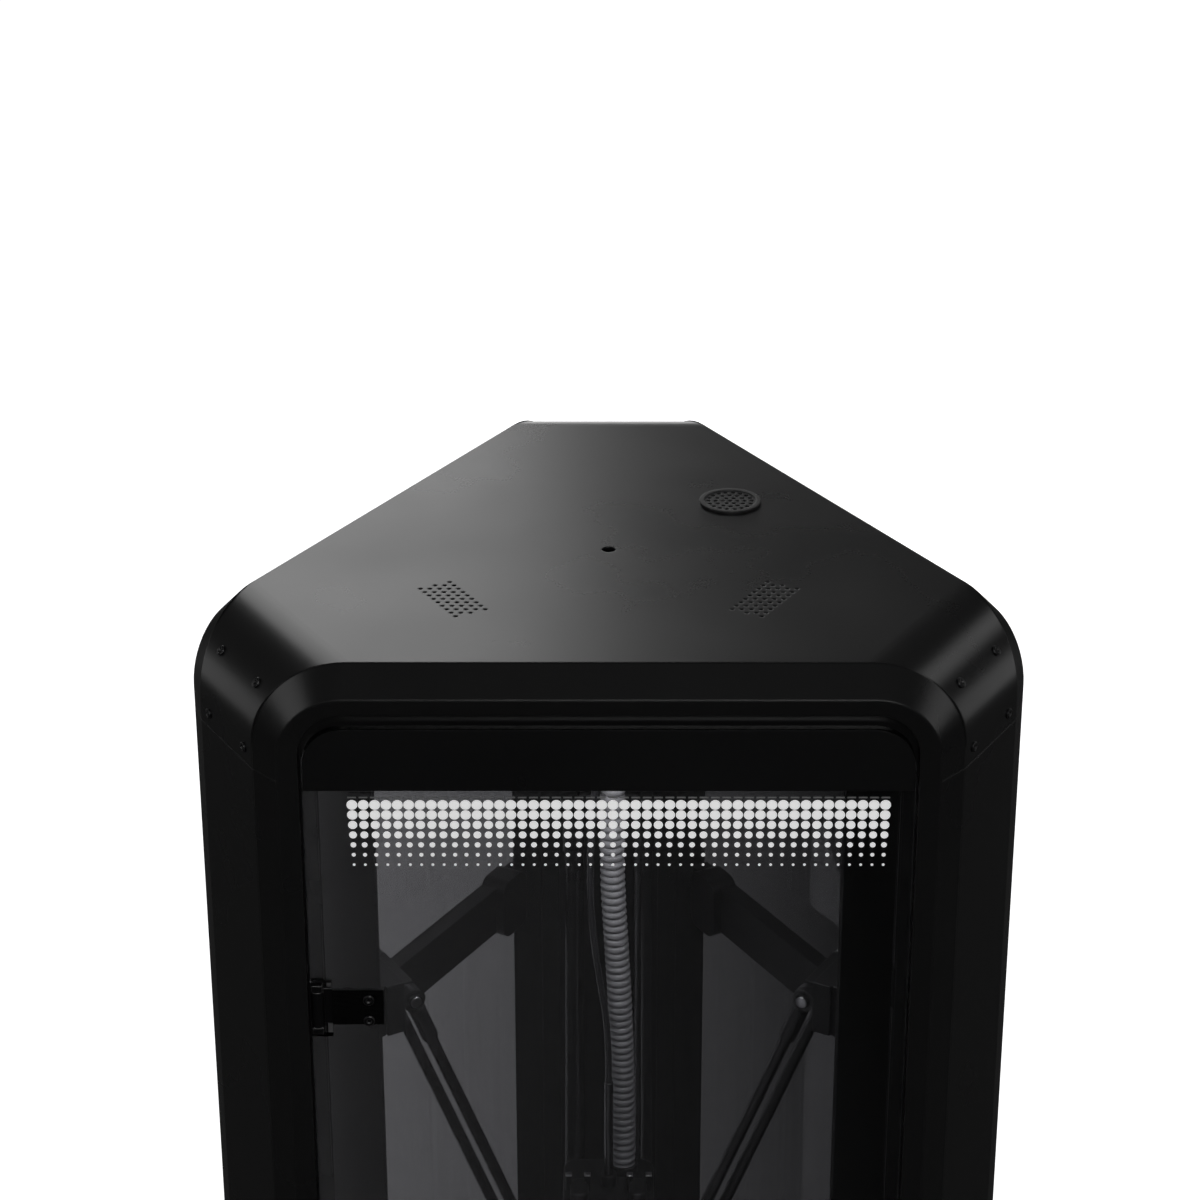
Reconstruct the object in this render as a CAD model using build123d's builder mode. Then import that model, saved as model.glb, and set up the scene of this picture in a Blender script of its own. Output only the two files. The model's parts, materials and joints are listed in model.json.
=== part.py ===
from build123d import *
from math import cos, pi, radians, sin, sqrt, tan
import os

os.makedirs("parts", exist_ok=True)

# Driving sizes, in millimetres. The origin is on the floor, in the middle of the overall box.
overall_height = 841.0    # floor to top face
cap_height = 62.0         # top face down to the seam with the three columns
side_distance = 147.5     # printer axis to the plane of each long side
corner_half = 33.486      # half the width of each corner face
handle_reach = 25.5       # side plane to the front of the door handle
foot_height = 12.0
base_top = 112.0          # top of the base, the chamber's floor
base_step = 11.5          # the base's long sides, outside the side planes
base_wall = 2.5
sheet = 2.0               # cap and column sheet
corner_bend = 46.5        # cap's bend from the top face down to a corner face

frame_rise = 14.8         # ridge of each long side's frame, above the side plane
frame_shoulder = 13.7     # width of its sloping shoulder beside a column
ridge_flat = 1.0
frame_corner = 50.0       # upper corners of the frame
frame_foot_corner = 24.0
seam_groove = 0.5         # depth of the fine seam across each frame's shoulders
seam_gap = 0.4
reveal_depth = 4.7        # from the ridge back to the edge beside the glass
reveal_width = 11.3
seat_depth = 12.3         # from the ridge back to the seat behind the glass
seat_width = 8.5          # seat showing around the opening
glass = 4.0
glass_gap = 1.5           # glass edge to frame
door_top_gap = 8.0
pane_corner = 22.0
pane_foot_corner = 6.0

tower_depth = 57.0        # corner face to the inner cover of a tower
cover_sheet = 2.0
rod_gap = 13.0            # inner cover to the middle of the guide rods
rod_spacing = 40.0
rod_diameter = 8.0
running_gap = 0.05        # radial, a shaft in its bearing
clearance = 0.5           # between pieces that only pass each other

ceiling_drop = 44.0       # top face to the chamber's ceiling
ceiling_sheet = 2.0
belt_thickness = 1.4
belt_width = 6.0
belt_gap = 0.3            # belt to pulley rim and flanges
pulley_teeth = 20
belt_pitch = 2.0
idler_drop = 25.0         # ceiling to the middle of the idler pulleys
motor_size = 42.3
motor_length = 38.0
shaft_diameter = 5.0

carriage_height = 605.0   # arm pivots, at rest
carriage_tall = 32.0
pivot_gap = 24.0          # guide rods to the arm pivots
arm_spacing = 48.0
effector_height = 322.0
effector_radius = 34.0
effector_thickness = 9.0
arm_diameter = 7.0
ball_pin = 8.0
arm_gap = 0.3             # radial, arm end on its effector pin

head_width = 56.0
head_depth = 52.0
head_top = 412.0
post_top = 427.0
nozzle_tip = 277.0
sleeve_diameter = 5.5
sleeve_top = 490.0
hose_diameter = 15.0
tube_diameter = 4.0

bed_diameter = 270.0
bed_thickness = 4.0
bed_lift = 10.0           # deck to the underside of the heated bed
plate_diameter = 264.0
plate_thickness = 1.8

rail_top = 542.0
rail_height = 32.0
rail_depth = 11.0
rail_end_gap = 65.5       # rail end to the end of the side plane

inlet_flange = 2.0        # power inlet's plate, proud of the rear corner face
rocker_radius = 8.0

# Sizes worked out from the driving ones.
corner_distance = 2 * (side_distance - corner_half * cos(radians(30)))
front_reach = side_distance + handle_reach
base_side = side_distance + base_step
seam_height = overall_height - cap_height
ceiling_height = overall_height - ceiling_drop
idler_height = ceiling_height - idler_drop
tower_face = corner_distance - tower_depth
rod_distance = tower_face - rod_gap
pivot_distance = rod_distance - pivot_gap
rear_reach = corner_distance + inlet_flange
axis_y = (front_reach - rear_reach) / 2
side_half = (corner_distance - side_distance / 2) / cos(radians(30))
rail_half_length = side_half - rail_end_gap
ridge_distance = side_distance + frame_rise
reveal_distance = ridge_distance - reveal_depth
seat_distance = ridge_distance - seat_depth
ridge_half = side_half - frame_shoulder
reveal_half = ridge_half - reveal_width
open_half = reveal_half - seat_width
ridge_top = overall_height - frame_rise
reveal_top = ridge_top - reveal_width
ridge_low = base_top + frame_shoulder
reveal_low = ridge_low + reveal_width
glass_half = reveal_half - glass_gap
glass_top = reveal_top - door_top_gap
glass_low = reveal_low + glass_gap
glass_front = reveal_distance - 0.6
seat_low = reveal_low + seat_width
seat_high = reveal_top - seat_width - door_top_gap
pulley_radius = pulley_teeth * belt_pitch / (2 * pi)
pulley_height = base_top - base_wall - motor_size / 2
deck_to_ceiling = ceiling_height - base_top
towers = {"rear": 0, "left": 120, "right": -120}
ground = (Align.CENTER, Align.CENTER, Align.MIN)
hanging = (Align.CENTER, Align.CENTER, Align.MAX)


def level(height):
    """The horizontal plane at this height, centred on the printer's axis."""
    return Plane(origin=(0, axis_y, height))


def tower(turn, x=0.0, y=0.0, z=0.0):
    """A horizontal plane whose +Y points outwards to the tower at this turn, with its origin at x, y, z."""
    angle = radians(turn)
    across = Vector(cos(angle), sin(angle), 0)
    out = Vector(-sin(angle), cos(angle), 0)
    return Plane(origin=Vector(0, axis_y, z) + across * x + out * y, x_dir=across, z_dir=(0, 0, 1))


def outward(turn, x, y, z, lift=0.0):
    """A plane on a tower's outer face, its normal pointing outwards and raised by lift degrees."""
    base = tower(turn, x, y, z)
    normal = base.y_dir * cos(radians(lift)) + Vector(0, 0, 1) * sin(radians(lift))
    return Plane(origin=base.origin, x_dir=base.x_dir * -1, z_dir=normal)


def across(turn, x, y, z):
    """A plane whose normal runs along a tower's own X axis, for axles, pins and pulleys."""
    base = tower(turn, x, y, z)
    return Plane(origin=base.origin, x_dir=base.y_dir, z_dir=base.x_dir)


def side(turn, distance):
    """The upright plane of a long side, facing outwards, its +Y up and its origin on the floor."""
    angle = radians(turn)
    normal = Vector(sin(angle), -cos(angle), 0)
    start = Vector(0, axis_y, 0) + normal * distance
    return Plane(origin=start, x_dir=(cos(angle), sin(angle), 0), z_dir=normal)


def plan(side_face, corner_face, height):
    """The printer's plan, a triangle with its corners cut off, as a sketch at this height."""
    half = (side_face - corner_face / 2) / cos(radians(30))
    points = []
    for turn in (0, 120, 240):
        base = tower(turn)
        for end in (half, -half):
            points.append(base.from_local_coords((end, corner_face, 0)))
    flat = [(point.X, point.Y - axis_y) for point in points]
    with BuildSketch(level(height)) as outline:
        with BuildLine():
            Polyline(*flat, close=True)
        make_face()
    return outline.sketch


def opening(plane, half, low, high, low_corner, high_corner):
    """A long side's rounded opening outline on a side plane."""
    with BuildSketch(plane) as outline:
        with Locations((0, (low + high) / 2)):
            Rectangle(2 * half, high - low)
        corners = outline.vertices().group_by(Axis.Y)
        fillet(corners[-1], radius=high_corner)
        fillet(outline.vertices().sort_by(Axis.Y)[:2], radius=low_corner)
    return outline.sketch


def save(piece, name):
    """Label a finished piece and write it to its own file."""
    piece.part.label = name
    export_step(piece.part, f"parts/{name}.step")


# Top cap: a shell whose corners bend down over the columns, open on its three long sides.
cap_plan = plan(side_distance, corner_distance, seam_height)
cap_cuts = [
    opening(side(turn, side_distance + 1), open_half, base_top, reveal_top - seat_width, 10, 14)
    for turn in towers.values()
]
with BuildPart() as top_cap:
    extrude(to_extrude=cap_plan, amount=overall_height - seam_height)
    fillet(top_cap.edges().group_by(Axis.Z)[-1].sort_by(SortBy.LENGTH)[:3], radius=corner_bend)
    offset(amount=-sheet, openings=top_cap.faces().sort_by(Axis.Z)[0])
    for cut in cap_cuts:
        extrude(to_extrude=cut, amount=-10, mode=Mode.SUBTRACT)

# Holes in its top: the filament port, the air grille and two patches of vent holes.
port_radius = 4.0
grille_radius = 17.8
grille_rim = 2.8
grille_lift = 1.6
grille_pitch = 4.2
grille_hole = 1.3
grille_place = (70.7, 68.8)
vent_place = (16.1, 107.2)
vent_pitch = 5.2
vent_radius = 1.25
with BuildSketch(level(overall_height)) as top_holes:
    Circle(port_radius)
    with Locations(grille_place):
        Circle(grille_radius - grille_rim)
vent_rows = vent_pitch * 2 * sin(radians(60))
vents = []
for name, x in (("left", -vent_place[0]), ("right", vent_place[0])):
    with BuildSketch(tower(towers[name], x, vent_place[1], overall_height)) as patch:
        with GridLocations(vent_pitch, vent_rows, 9, 3):
            Circle(vent_radius)
        with GridLocations(vent_pitch, vent_rows, 8, 2):
            Circle(vent_radius)
    vents.append(patch.sketch)
with top_cap:
    for holes in (top_holes.sketch, *vents):
        extrude(to_extrude=holes, amount=-2 * sheet, mode=Mode.SUBTRACT)
save(top_cap, "top_cap")

# Cap screws: two on each bend and two just above each seam.
screw_half = 22.9
screw_lift = 37.0
screw_above_seam = 8.0
cap_screw_radius = 2.7
cap_screw_height = 1.2
bend_centre = (corner_distance - corner_bend, overall_height - corner_bend)
bend_y = bend_centre[0] + corner_bend * cos(radians(screw_lift))
bend_z = bend_centre[1] + corner_bend * sin(radians(screw_lift))
cap_screw_planes = [
    outward(turn, x, y, z, lift)
    for turn in towers.values()
    for x in (-screw_half, screw_half)
    for y, z, lift in ((bend_y, bend_z, screw_lift), (corner_distance, seam_height + screw_above_seam, 0))
]
with BuildPart(*cap_screw_planes) as cap_screws:
    Cylinder(cap_screw_radius, cap_screw_height, align=ground)
    fillet(cap_screws.edges().filter_by(GeomType.CIRCLE).group_by(SortBy.RADIUS)[-1], radius=0.4)
save(cap_screws, "cap_screws")

# Air grille: a raised ring with a mesh of small holes.
with BuildPart(level(overall_height)) as top_grille:
    with Locations(grille_place):
        Cylinder(grille_radius, grille_lift, align=ground)
        with Locations((0, 0, grille_lift - 0.6)):
            Cylinder(grille_radius - grille_rim, 0.6, align=ground, mode=Mode.SUBTRACT)
        Cylinder(grille_hole, 4, mode=Mode.SUBTRACT)
        for ring in range(1, 4):
            with PolarLocations(ring * grille_pitch, 6 * ring):
                Cylinder(grille_hole, 4, mode=Mode.SUBTRACT)
save(top_grille, "top_grille")

# Columns: one folded sheet behind each corner, from the base to the seam.
column_outer = plan(side_distance, corner_distance, base_top)
column_inner = plan(side_distance - sheet, corner_distance - sheet, base_top)
column_reach = open_half * cos(radians(60)) - side_distance * cos(radians(30))
for name, turn in towers.items():
    with BuildSketch(tower(turn, z=base_top)) as corner:
        with Locations((0, corner_distance)):
            Rectangle(2 * abs(column_reach), 60)
    with BuildPart() as column:
        extrude(to_extrude=column_outer, amount=seam_height - base_top - 0.3)
        extrude(to_extrude=column_inner, amount=seam_height - base_top, mode=Mode.SUBTRACT)
        extrude(to_extrude=corner.sketch, amount=seam_height - base_top, mode=Mode.INTERSECT)
    save(column, f"column_{name}")

# Frames of the three long sides, and the glass that each one holds.
frame_turns = {"front": 0, "left": -120, "right": 120}
for name, turn in frame_turns.items():
    foot_face = side(turn, side_distance)
    ridge_face = side(turn, ridge_distance)
    reveal_face = side(turn, reveal_distance)
    seat_face = side(turn, seat_distance)
    inner_corner = frame_corner - frame_rise - reveal_width
    foot = opening(foot_face, side_half, base_top, overall_height, frame_foot_corner, frame_corner)
    ridge = opening(ridge_face, ridge_half, ridge_low, ridge_top,
                    frame_foot_corner - frame_shoulder, frame_corner - frame_rise)
    lip = opening(ridge_face, ridge_half - ridge_flat, ridge_low + ridge_flat, ridge_top - ridge_flat,
                  frame_foot_corner - frame_shoulder - ridge_flat, frame_corner - frame_rise - ridge_flat)
    reveal = opening(reveal_face, reveal_half, reveal_low, reveal_top, 4, inner_corner)
    seat = opening(seat_face, open_half, seat_low, seat_high, 10, 14)
    seam_plane = Plane(origin=(0, axis_y, seam_height), x_dir=foot_face.x_dir, z_dir=(0, 0, -1))
    with BuildSketch(seam_plane) as seams:
        for end in (-1, 1):
            foot_point = (end * side_half, side_distance - seam_groove)
            ridge_point = (end * ridge_half, ridge_distance - seam_groove)
            with BuildLine():
                Polyline(foot_point, ridge_point, (ridge_point[0], ridge_distance + 1),
                         (foot_point[0], ridge_distance + 1), close=True)
            make_face()
    with BuildPart() as frame:
        loft(sections=[foot, ridge], ruled=True)
        loft(sections=[lip, reveal], ruled=True, mode=Mode.SUBTRACT)
        extrude(to_extrude=reveal, amount=seat_distance - reveal_distance, mode=Mode.SUBTRACT)
        extrude(to_extrude=seat, amount=-10, mode=Mode.SUBTRACT)
        extrude(to_extrude=seams.sketch, amount=seam_gap, mode=Mode.SUBTRACT)
    save(frame, f"frame_{name}")

# Side windows: fixed tinted panes, seated against the two rear sides' frames.
panes = {}
for name, turn in frame_turns.items():
    pane_face = side(turn, glass_front)
    panes[name] = opening(pane_face, glass_half, glass_low, glass_top, pane_foot_corner, pane_corner)
with BuildPart() as side_windows:
    for name in ("left", "right"):
        extrude(to_extrude=panes[name], amount=-glass)
save(side_windows, "side_windows")

# Hinge places on the door: each has a notch in the glass and a gap in the seal.
hinge_heights = (240.0, 636.0)
hinge_inset = 3.5
hinge_axis = -(glass_half - hinge_inset)
hinge_distance = glass_front - glass / 2
barrel_length = 22.0
knuckle = 4.0
notch_length = barrel_length + 2 * knuckle + 4

# Glass seals: a soft strip on each frame's seat. The door's stops short of its glass, and leaves
# the hinge side free for the glass's edge to swing.
seal_width = 5.0
seal_thickness = glass_front - glass - seat_distance
seal_outer = [
    opening(side(turn, seat_distance), open_half + 1 + seal_width, seat_low - 1 - seal_width,
            seat_high + 1 + seal_width, 16, 19)
    for turn in frame_turns.values()
]
seal_inner = [
    opening(side(turn, seat_distance), open_half + 1, seat_low - 1, seat_high + 1, 11, 14)
    for turn in frame_turns.values()
]
with BuildPart() as glass_seals:
    for outline in seal_outer:
        extrude(to_extrude=outline, amount=seal_thickness)
    for outline in seal_inner:
        extrude(to_extrude=outline, amount=seal_thickness, mode=Mode.SUBTRACT)
with BuildSketch(side(0, seat_distance + seal_thickness)) as door_relief:
    Rectangle(2 * side_half, 2 * overall_height)
with BuildSketch(side(0, seat_distance)) as hinge_relief:
    with Locations((-open_half, (seat_low + seat_high) / 2)):
        Rectangle(4 * seal_width, 2 * (seat_high - seat_low))
with glass_seals:
    extrude(to_extrude=door_relief.sketch, amount=-0.3, mode=Mode.SUBTRACT)
    extrude(to_extrude=hinge_relief.sketch, amount=seal_thickness, mode=Mode.SUBTRACT)
save(glass_seals, "glass_seals")

# Tower covers: one ribbed sheet behind each tower's guide rods, reaching from side to side.
cover_half = (side_distance - sheet - (tower_face + cover_sheet) / 2) / cos(radians(30)) - clearance
rib_place = rod_spacing / 2 + 18
rib_width = 12.0
rib_depth = 3.0
with BuildPart(*[tower(turn, 0, tower_face, base_top) for turn in towers.values()]) as tower_covers:
    with Locations((0, cover_sheet / 2, 0)):
        Box(2 * cover_half, cover_sheet, deck_to_ceiling, align=ground)
    with Locations((-rib_place, -rib_depth / 2, 0), (rib_place, -rib_depth / 2, 0)):
        Box(rib_width, rib_depth, deck_to_ceiling, align=ground)
save(tower_covers, "tower_covers")

# Base: a shell whose top is the chamber's floor, with openings for what it carries.
screen_width = 96.0
screen_height = 58.0
screen_middle = 64.0
screen_rim = 4.0
inlet_middle = 44.0
rocker_middle = 80.0
module_width = 33.0
module_height = 65.0
module_middle = (inlet_middle + rocker_middle) / 2
bed_post_circle = 105.0
bed_post_radius = 6.0
base_corner = 8.0
with BuildSketch(side(0, base_side)) as screen_hole:
    with Locations((0, screen_middle)):
        Rectangle(screen_width - 2 * screen_rim, screen_height - 2 * screen_rim)
with BuildSketch(outward(0, 0, corner_distance, 0)) as inlet_hole:
    with Locations((0, module_middle)):
        Rectangle(module_width + 2 * clearance, module_height + 2 * clearance)
with BuildSketch(*[tower(turn, 0, rod_distance, base_top) for turn in towers.values()]) as belt_holes:
    Rectangle(belt_width + 6, 2 * pulley_radius + 10)
with BuildSketch(side(-120, base_side), side(120, base_side)) as side_vents:
    with Locations((0, 60)):
        with GridLocations(34, 9, 6, 5):
            SlotOverall(26, 3)
hollow_plan = plan(base_side - base_wall, corner_distance - base_wall, foot_height)
with BuildPart() as base_hollow:
    extrude(to_extrude=hollow_plan, amount=base_top - base_wall - foot_height)
    fillet(base_hollow.edges().filter_by(Axis.Z), radius=base_corner - base_wall)
with BuildPart() as base_shell:
    extrude(to_extrude=plan(base_side, corner_distance, foot_height), amount=base_top - foot_height)
    fillet(base_shell.edges().filter_by(Axis.Z), radius=base_corner)
    chamfer(base_shell.edges().group_by(Axis.Z)[-1], length=1.5)
    add(base_hollow.part, mode=Mode.SUBTRACT)
    for hole in (screen_hole, inlet_hole, belt_holes, side_vents):
        extrude(to_extrude=hole.sketch, amount=-3 * base_wall, mode=Mode.SUBTRACT)
with BuildPart(level(base_top)) as bed_posts:
    with PolarLocations(bed_post_circle, 3, start_angle=30):
        Cylinder(bed_post_radius, bed_lift, align=ground)
with base_shell:
    add(bed_posts.part)
save(base_shell, "base_shell")

# Base tray: the floor plate, inside the shell's lower edge, with vents under the electronics.
tray_gap = base_wall + clearance
with BuildPart() as base_tray:
    extrude(to_extrude=plan(base_side - tray_gap, corner_distance - tray_gap, foot_height), amount=sheet)
    fillet(base_tray.edges().filter_by(Axis.Z), radius=base_corner - tray_gap)
with BuildSketch(level(foot_height)) as tray_vents:
    with GridLocations(30, 9, 5, 9):
        SlotOverall(24, 4)
with base_tray:
    extrude(to_extrude=tray_vents.sketch, amount=sheet, mode=Mode.SUBTRACT)
save(base_tray, "base_tray")

# Rubber feet, one under each corner.
foot_distance = corner_distance - 37
foot_radius = 14.0
with BuildPart(*[tower(turn, 0, foot_distance, 0) for turn in towers.values()]) as rubber_feet:
    Cylinder(foot_radius, foot_height, align=ground)
    fillet(rubber_feet.edges().filter_by(GeomType.CIRCLE).group_by(Axis.Z)[0], radius=2)
save(rubber_feet, "rubber_feet")

# Touch screen: a bezel outside the base's front and a body through its opening.
bezel = 3.0
with BuildPart(side(0, base_side)) as touch_screen:
    with Locations((0, screen_middle, 0)):
        Box(screen_width, screen_height, bezel, align=ground)
        fillet(touch_screen.edges().filter_by(Axis.Y), radius=4)
        Box(screen_width - 2 * screen_rim - 1, screen_height - 2 * screen_rim - 1, 9, align=hanging)
        with Locations((0, 0, bezel)):
            Box(screen_width - 14, screen_height - 14, 0.6, align=hanging, mode=Mode.SUBTRACT)
save(touch_screen, "touch_screen")

# Power inlet: one plate at the rear with a mains socket and the frame of the rocker switch.
socket_depth = 12.0
with BuildPart(outward(0, 0, corner_distance, 0)) as power_inlet:
    with Locations((0, module_middle, 0)):
        Box(module_width + 12, module_height + 10, inlet_flange, align=ground)
        Box(module_width, module_height, 18, align=hanging)
    with Locations((0, inlet_middle, inlet_flange)):
        Box(27, 19.5, socket_depth + inlet_flange, align=hanging, mode=Mode.SUBTRACT)
    for x, lift in ((-7, 0), (0, 4), (7, 0)):
        with Locations((x, inlet_middle + lift, -socket_depth)):
            Box(2, 4, 9, align=ground)
    with Locations((0, rocker_middle, -2)):
        Cylinder(rocker_radius + 0.4, 15, rotation=(0, 90, 0), mode=Mode.SUBTRACT)
save(power_inlet, "power_inlet")

# Rocker switch: a round-backed rocker whose face is a shallow V, stored in its off position.
rocker_tilt = 7.0
with BuildPart(outward(0, 0, corner_distance, 0)) as rocker_switch:
    with Locations((0, rocker_middle, -2)):
        Cylinder(rocker_radius, 14, rotation=(0, 90, 0))
    for tilt in (2 * rocker_tilt + 1, -1):
        with Locations(Location((0, rocker_middle, 1.2), (tilt, 0, 0))):
            Box(16, 40, 20, align=ground, mode=Mode.SUBTRACT)
save(rocker_switch, "rocker_switch")

# Electronics in the base: a boxed power supply and a control board on standoffs.
tray_top = foot_height + sheet
supply_size = (98, 60, 38)
supply_place = (-20, 95, 0)
with BuildPart(level(tray_top)) as power_supply:
    with Locations(supply_place):
        Box(*supply_size, align=ground)
        fillet(power_supply.edges().filter_by(Axis.Z), radius=2)
        with GridLocations(9, 9, 8, 4):
            Cylinder(2.2, 80, mode=Mode.SUBTRACT)
save(power_supply, "power_supply")
board_lift = 6.0
board_size = (110, 80, 1.6)
board_place = (0, -60, 0)
with BuildPart(level(tray_top)) as control_board:
    with Locations(board_place):
        with GridLocations(board_size[0] - 12, board_size[1] - 12, 2, 2):
            Cylinder(3, board_lift, align=ground)
        with Locations((0, 0, board_lift)):
            Box(*board_size, align=ground)
        with Locations((0, 0, board_lift + board_size[2])):
            with GridLocations(20, 30, 4, 2):
                Box(14, 14, 5, align=ground)
            with Locations((0, 34, 0)):
                Box(80, 8, 11, align=ground)
save(control_board, "control_board")

# Ceiling: a flat panel under the cap, with a hole for the filament tube.
with BuildPart() as ceiling_panel:
    extrude(to_extrude=plan(side_distance - sheet - clearance, corner_distance - 6, ceiling_height),
            amount=ceiling_sheet)
with BuildSketch(level(ceiling_height)) as tube_hole:
    Circle(tube_diameter / 2 + clearance)
with ceiling_panel:
    extrude(to_extrude=tube_hole.sketch, amount=ceiling_sheet, mode=Mode.SUBTRACT)
save(ceiling_panel, "ceiling_panel")

# Rails along the two rear sides, each with a thicker rounded block near the rear tower.
rail_back = side_distance - sheet - clearance
block_length = 28.0
block_place = rail_half_length - 22
rail_sides = {"left": (-120, -1), "right": (120, 1)}
with BuildPart() as side_rails:
    for turn, rear_end in rail_sides.values():
        with BuildSketch(side(turn, rail_back)) as bar:
            with Locations((0, rail_top - rail_height / 2)):
                Rectangle(2 * rail_half_length, rail_height)
        with BuildSketch(side(turn, rail_back)) as block:
            with Locations((rear_end * block_place, rail_top - rail_height / 2)):
                RectangleRounded(block_length, rail_height + 8, 8)
        extrude(to_extrude=bar.sketch, amount=-rail_depth)
        extrude(to_extrude=block.sketch, amount=-rail_depth - 6)
save(side_rails, "side_rails")

# Light bars under the ceiling, one beside each front tower.
with BuildPart(side(-120, rail_back - 2), side(120, rail_back - 2)) as led_bars:
    with Locations((0, ceiling_height - 4, -4)):
        Box(200, 8, 6)
        long_edges = led_bars.edges().filter_by(GeomType.LINE).group_by(SortBy.LENGTH)[-1]
        fillet(long_edges.group_by(Axis.Z)[0], radius=2)
save(led_bars, "led_bars")

# Guide rods: two beside each belt, from the chamber's floor to its ceiling.
rod_places = [tower(turn, x, rod_distance, base_top) for turn in towers.values()
              for x in (-rod_spacing / 2, rod_spacing / 2)]
with BuildPart(*rod_places) as guide_rods:
    Cylinder(rod_diameter / 2, deck_to_ceiling, align=ground)
save(guide_rods, "guide_rods")

# Motors: bolted up under the chamber's floor, their shafts across the foot of each belt.
motor_face = belt_width / 2 + 5
motor_planes = [across(turn, motor_face, rod_distance, pulley_height) for turn in towers.values()]
with BuildPart(*motor_planes) as tower_motors:
    Box(motor_size, motor_size, motor_length, align=ground)
    fillet(tower_motors.edges().filter_by(lambda edge: abs(edge.length - motor_length) < 0.01), radius=4)
    Cylinder(11, 2, align=hanging)
    Cylinder(shaft_diameter / 2, motor_face + belt_width / 2 + 3, align=hanging)
save(tower_motors, "tower_motors")

# Belt drive of each tower: a toothed drive pulley, a plain idler and the closed belt round them.
rim_radius = pulley_radius - belt_thickness / 2 - belt_gap
flange_radius = pulley_radius + 2.2
rim_width = belt_width + 2 * belt_gap
flange_width = 1.2
loop_length = idler_height - pulley_height
for name, turn in towers.items():
    drive_plane = across(turn, 0, rod_distance, pulley_height)
    idler_plane = across(turn, 0, rod_distance, idler_height)
    with BuildPart(drive_plane) as drive_pulley:
        Cylinder(rim_radius, rim_width)
        with PolarLocations(rim_radius, pulley_teeth):
            Cylinder(0.45, rim_width, mode=Mode.SUBTRACT)
        for end in (-1, 1):
            with Locations((0, 0, end * (rim_width + flange_width) / 2)):
                Cylinder(flange_radius, flange_width)
        Cylinder(shaft_diameter / 2 + running_gap, 2 * rim_width, mode=Mode.SUBTRACT)
    save(drive_pulley, f"drive_pulley_{name}")
    with BuildPart(idler_plane) as idler_pulley:
        Cylinder(rim_radius, rim_width)
        for end in (-1, 1):
            with Locations((0, 0, end * (rim_width + flange_width) / 2)):
                Cylinder(flange_radius, flange_width)
        Cylinder(shaft_diameter / 2 + running_gap, 2 * rim_width, mode=Mode.SUBTRACT)
    save(idler_pulley, f"idler_pulley_{name}")
    with BuildSketch(across(turn, 0, rod_distance, (pulley_height + idler_height) / 2)) as loop:
        SlotCenterToCenter(loop_length, 2 * pulley_radius + belt_thickness, rotation=90)
        SlotCenterToCenter(loop_length, 2 * pulley_radius - belt_thickness, rotation=90, mode=Mode.SUBTRACT)
    with BuildPart() as belt:
        extrude(to_extrude=loop.sketch, amount=belt_width / 2, both=True)
    save(belt, f"belt_{name}")

# Idler brackets: a fork under the ceiling over each idler, with its axle.
fork_gap = rim_width / 2 + flange_width + clearance
fork_wall = 2.0
fork_planes = [tower(turn, 0, rod_distance, ceiling_height) for turn in towers.values()]
with BuildPart(*fork_planes) as idler_brackets:
    Box(2 * (fork_gap + fork_wall), 20, 2, align=hanging)
    for end in (-1, 1):
        with Locations((end * (fork_gap + fork_wall / 2), 0, 0)):
            Box(fork_wall, 14, ceiling_height - idler_height + 7, align=hanging)
    with Locations((0, 0, idler_height - ceiling_height)):
        Cylinder(shaft_diameter / 2, 2 * (fork_gap + fork_wall) + 2, rotation=(0, 90, 0))
save(idler_brackets, "idler_brackets")

# Carriages: a bored block on the guide rods, clear of both runs of the belt, with two arm pins.
block_front = pivot_distance + 7.5
block_back = rod_distance - 5.5
housing_radius = 10.5
pin_reach = arm_spacing / 2 + 6
for name, turn in towers.items():
    with BuildPart(tower(turn, 0, 0, carriage_height)) as carriage:
        with Locations((0, (block_front + block_back) / 2, 0)):
            Box(rod_spacing + 2 * housing_radius + 1, block_back - block_front, carriage_tall)
        with Locations((-rod_spacing / 2, rod_distance, 0), (rod_spacing / 2, rod_distance, 0)):
            Cylinder(housing_radius, carriage_tall)
            Cylinder(rod_diameter / 2 + running_gap, carriage_tall, mode=Mode.SUBTRACT)
        with Locations((0, rod_distance - pulley_radius, 0)):
            Box(belt_width + 2 * clearance, belt_thickness + 2 * clearance, carriage_tall,
                mode=Mode.SUBTRACT)
        with Locations((0, (pivot_distance + block_front) / 2, 0)):
            Box(arm_spacing - arm_diameter - 5, block_front - pivot_distance + ball_pin, 14)
        with Locations((0, pivot_distance, 0)):
            Cylinder(ball_pin / 2, 2 * pin_reach, rotation=(0, 90, 0))
    save(carriage, f"carriage_{name}")

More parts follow.
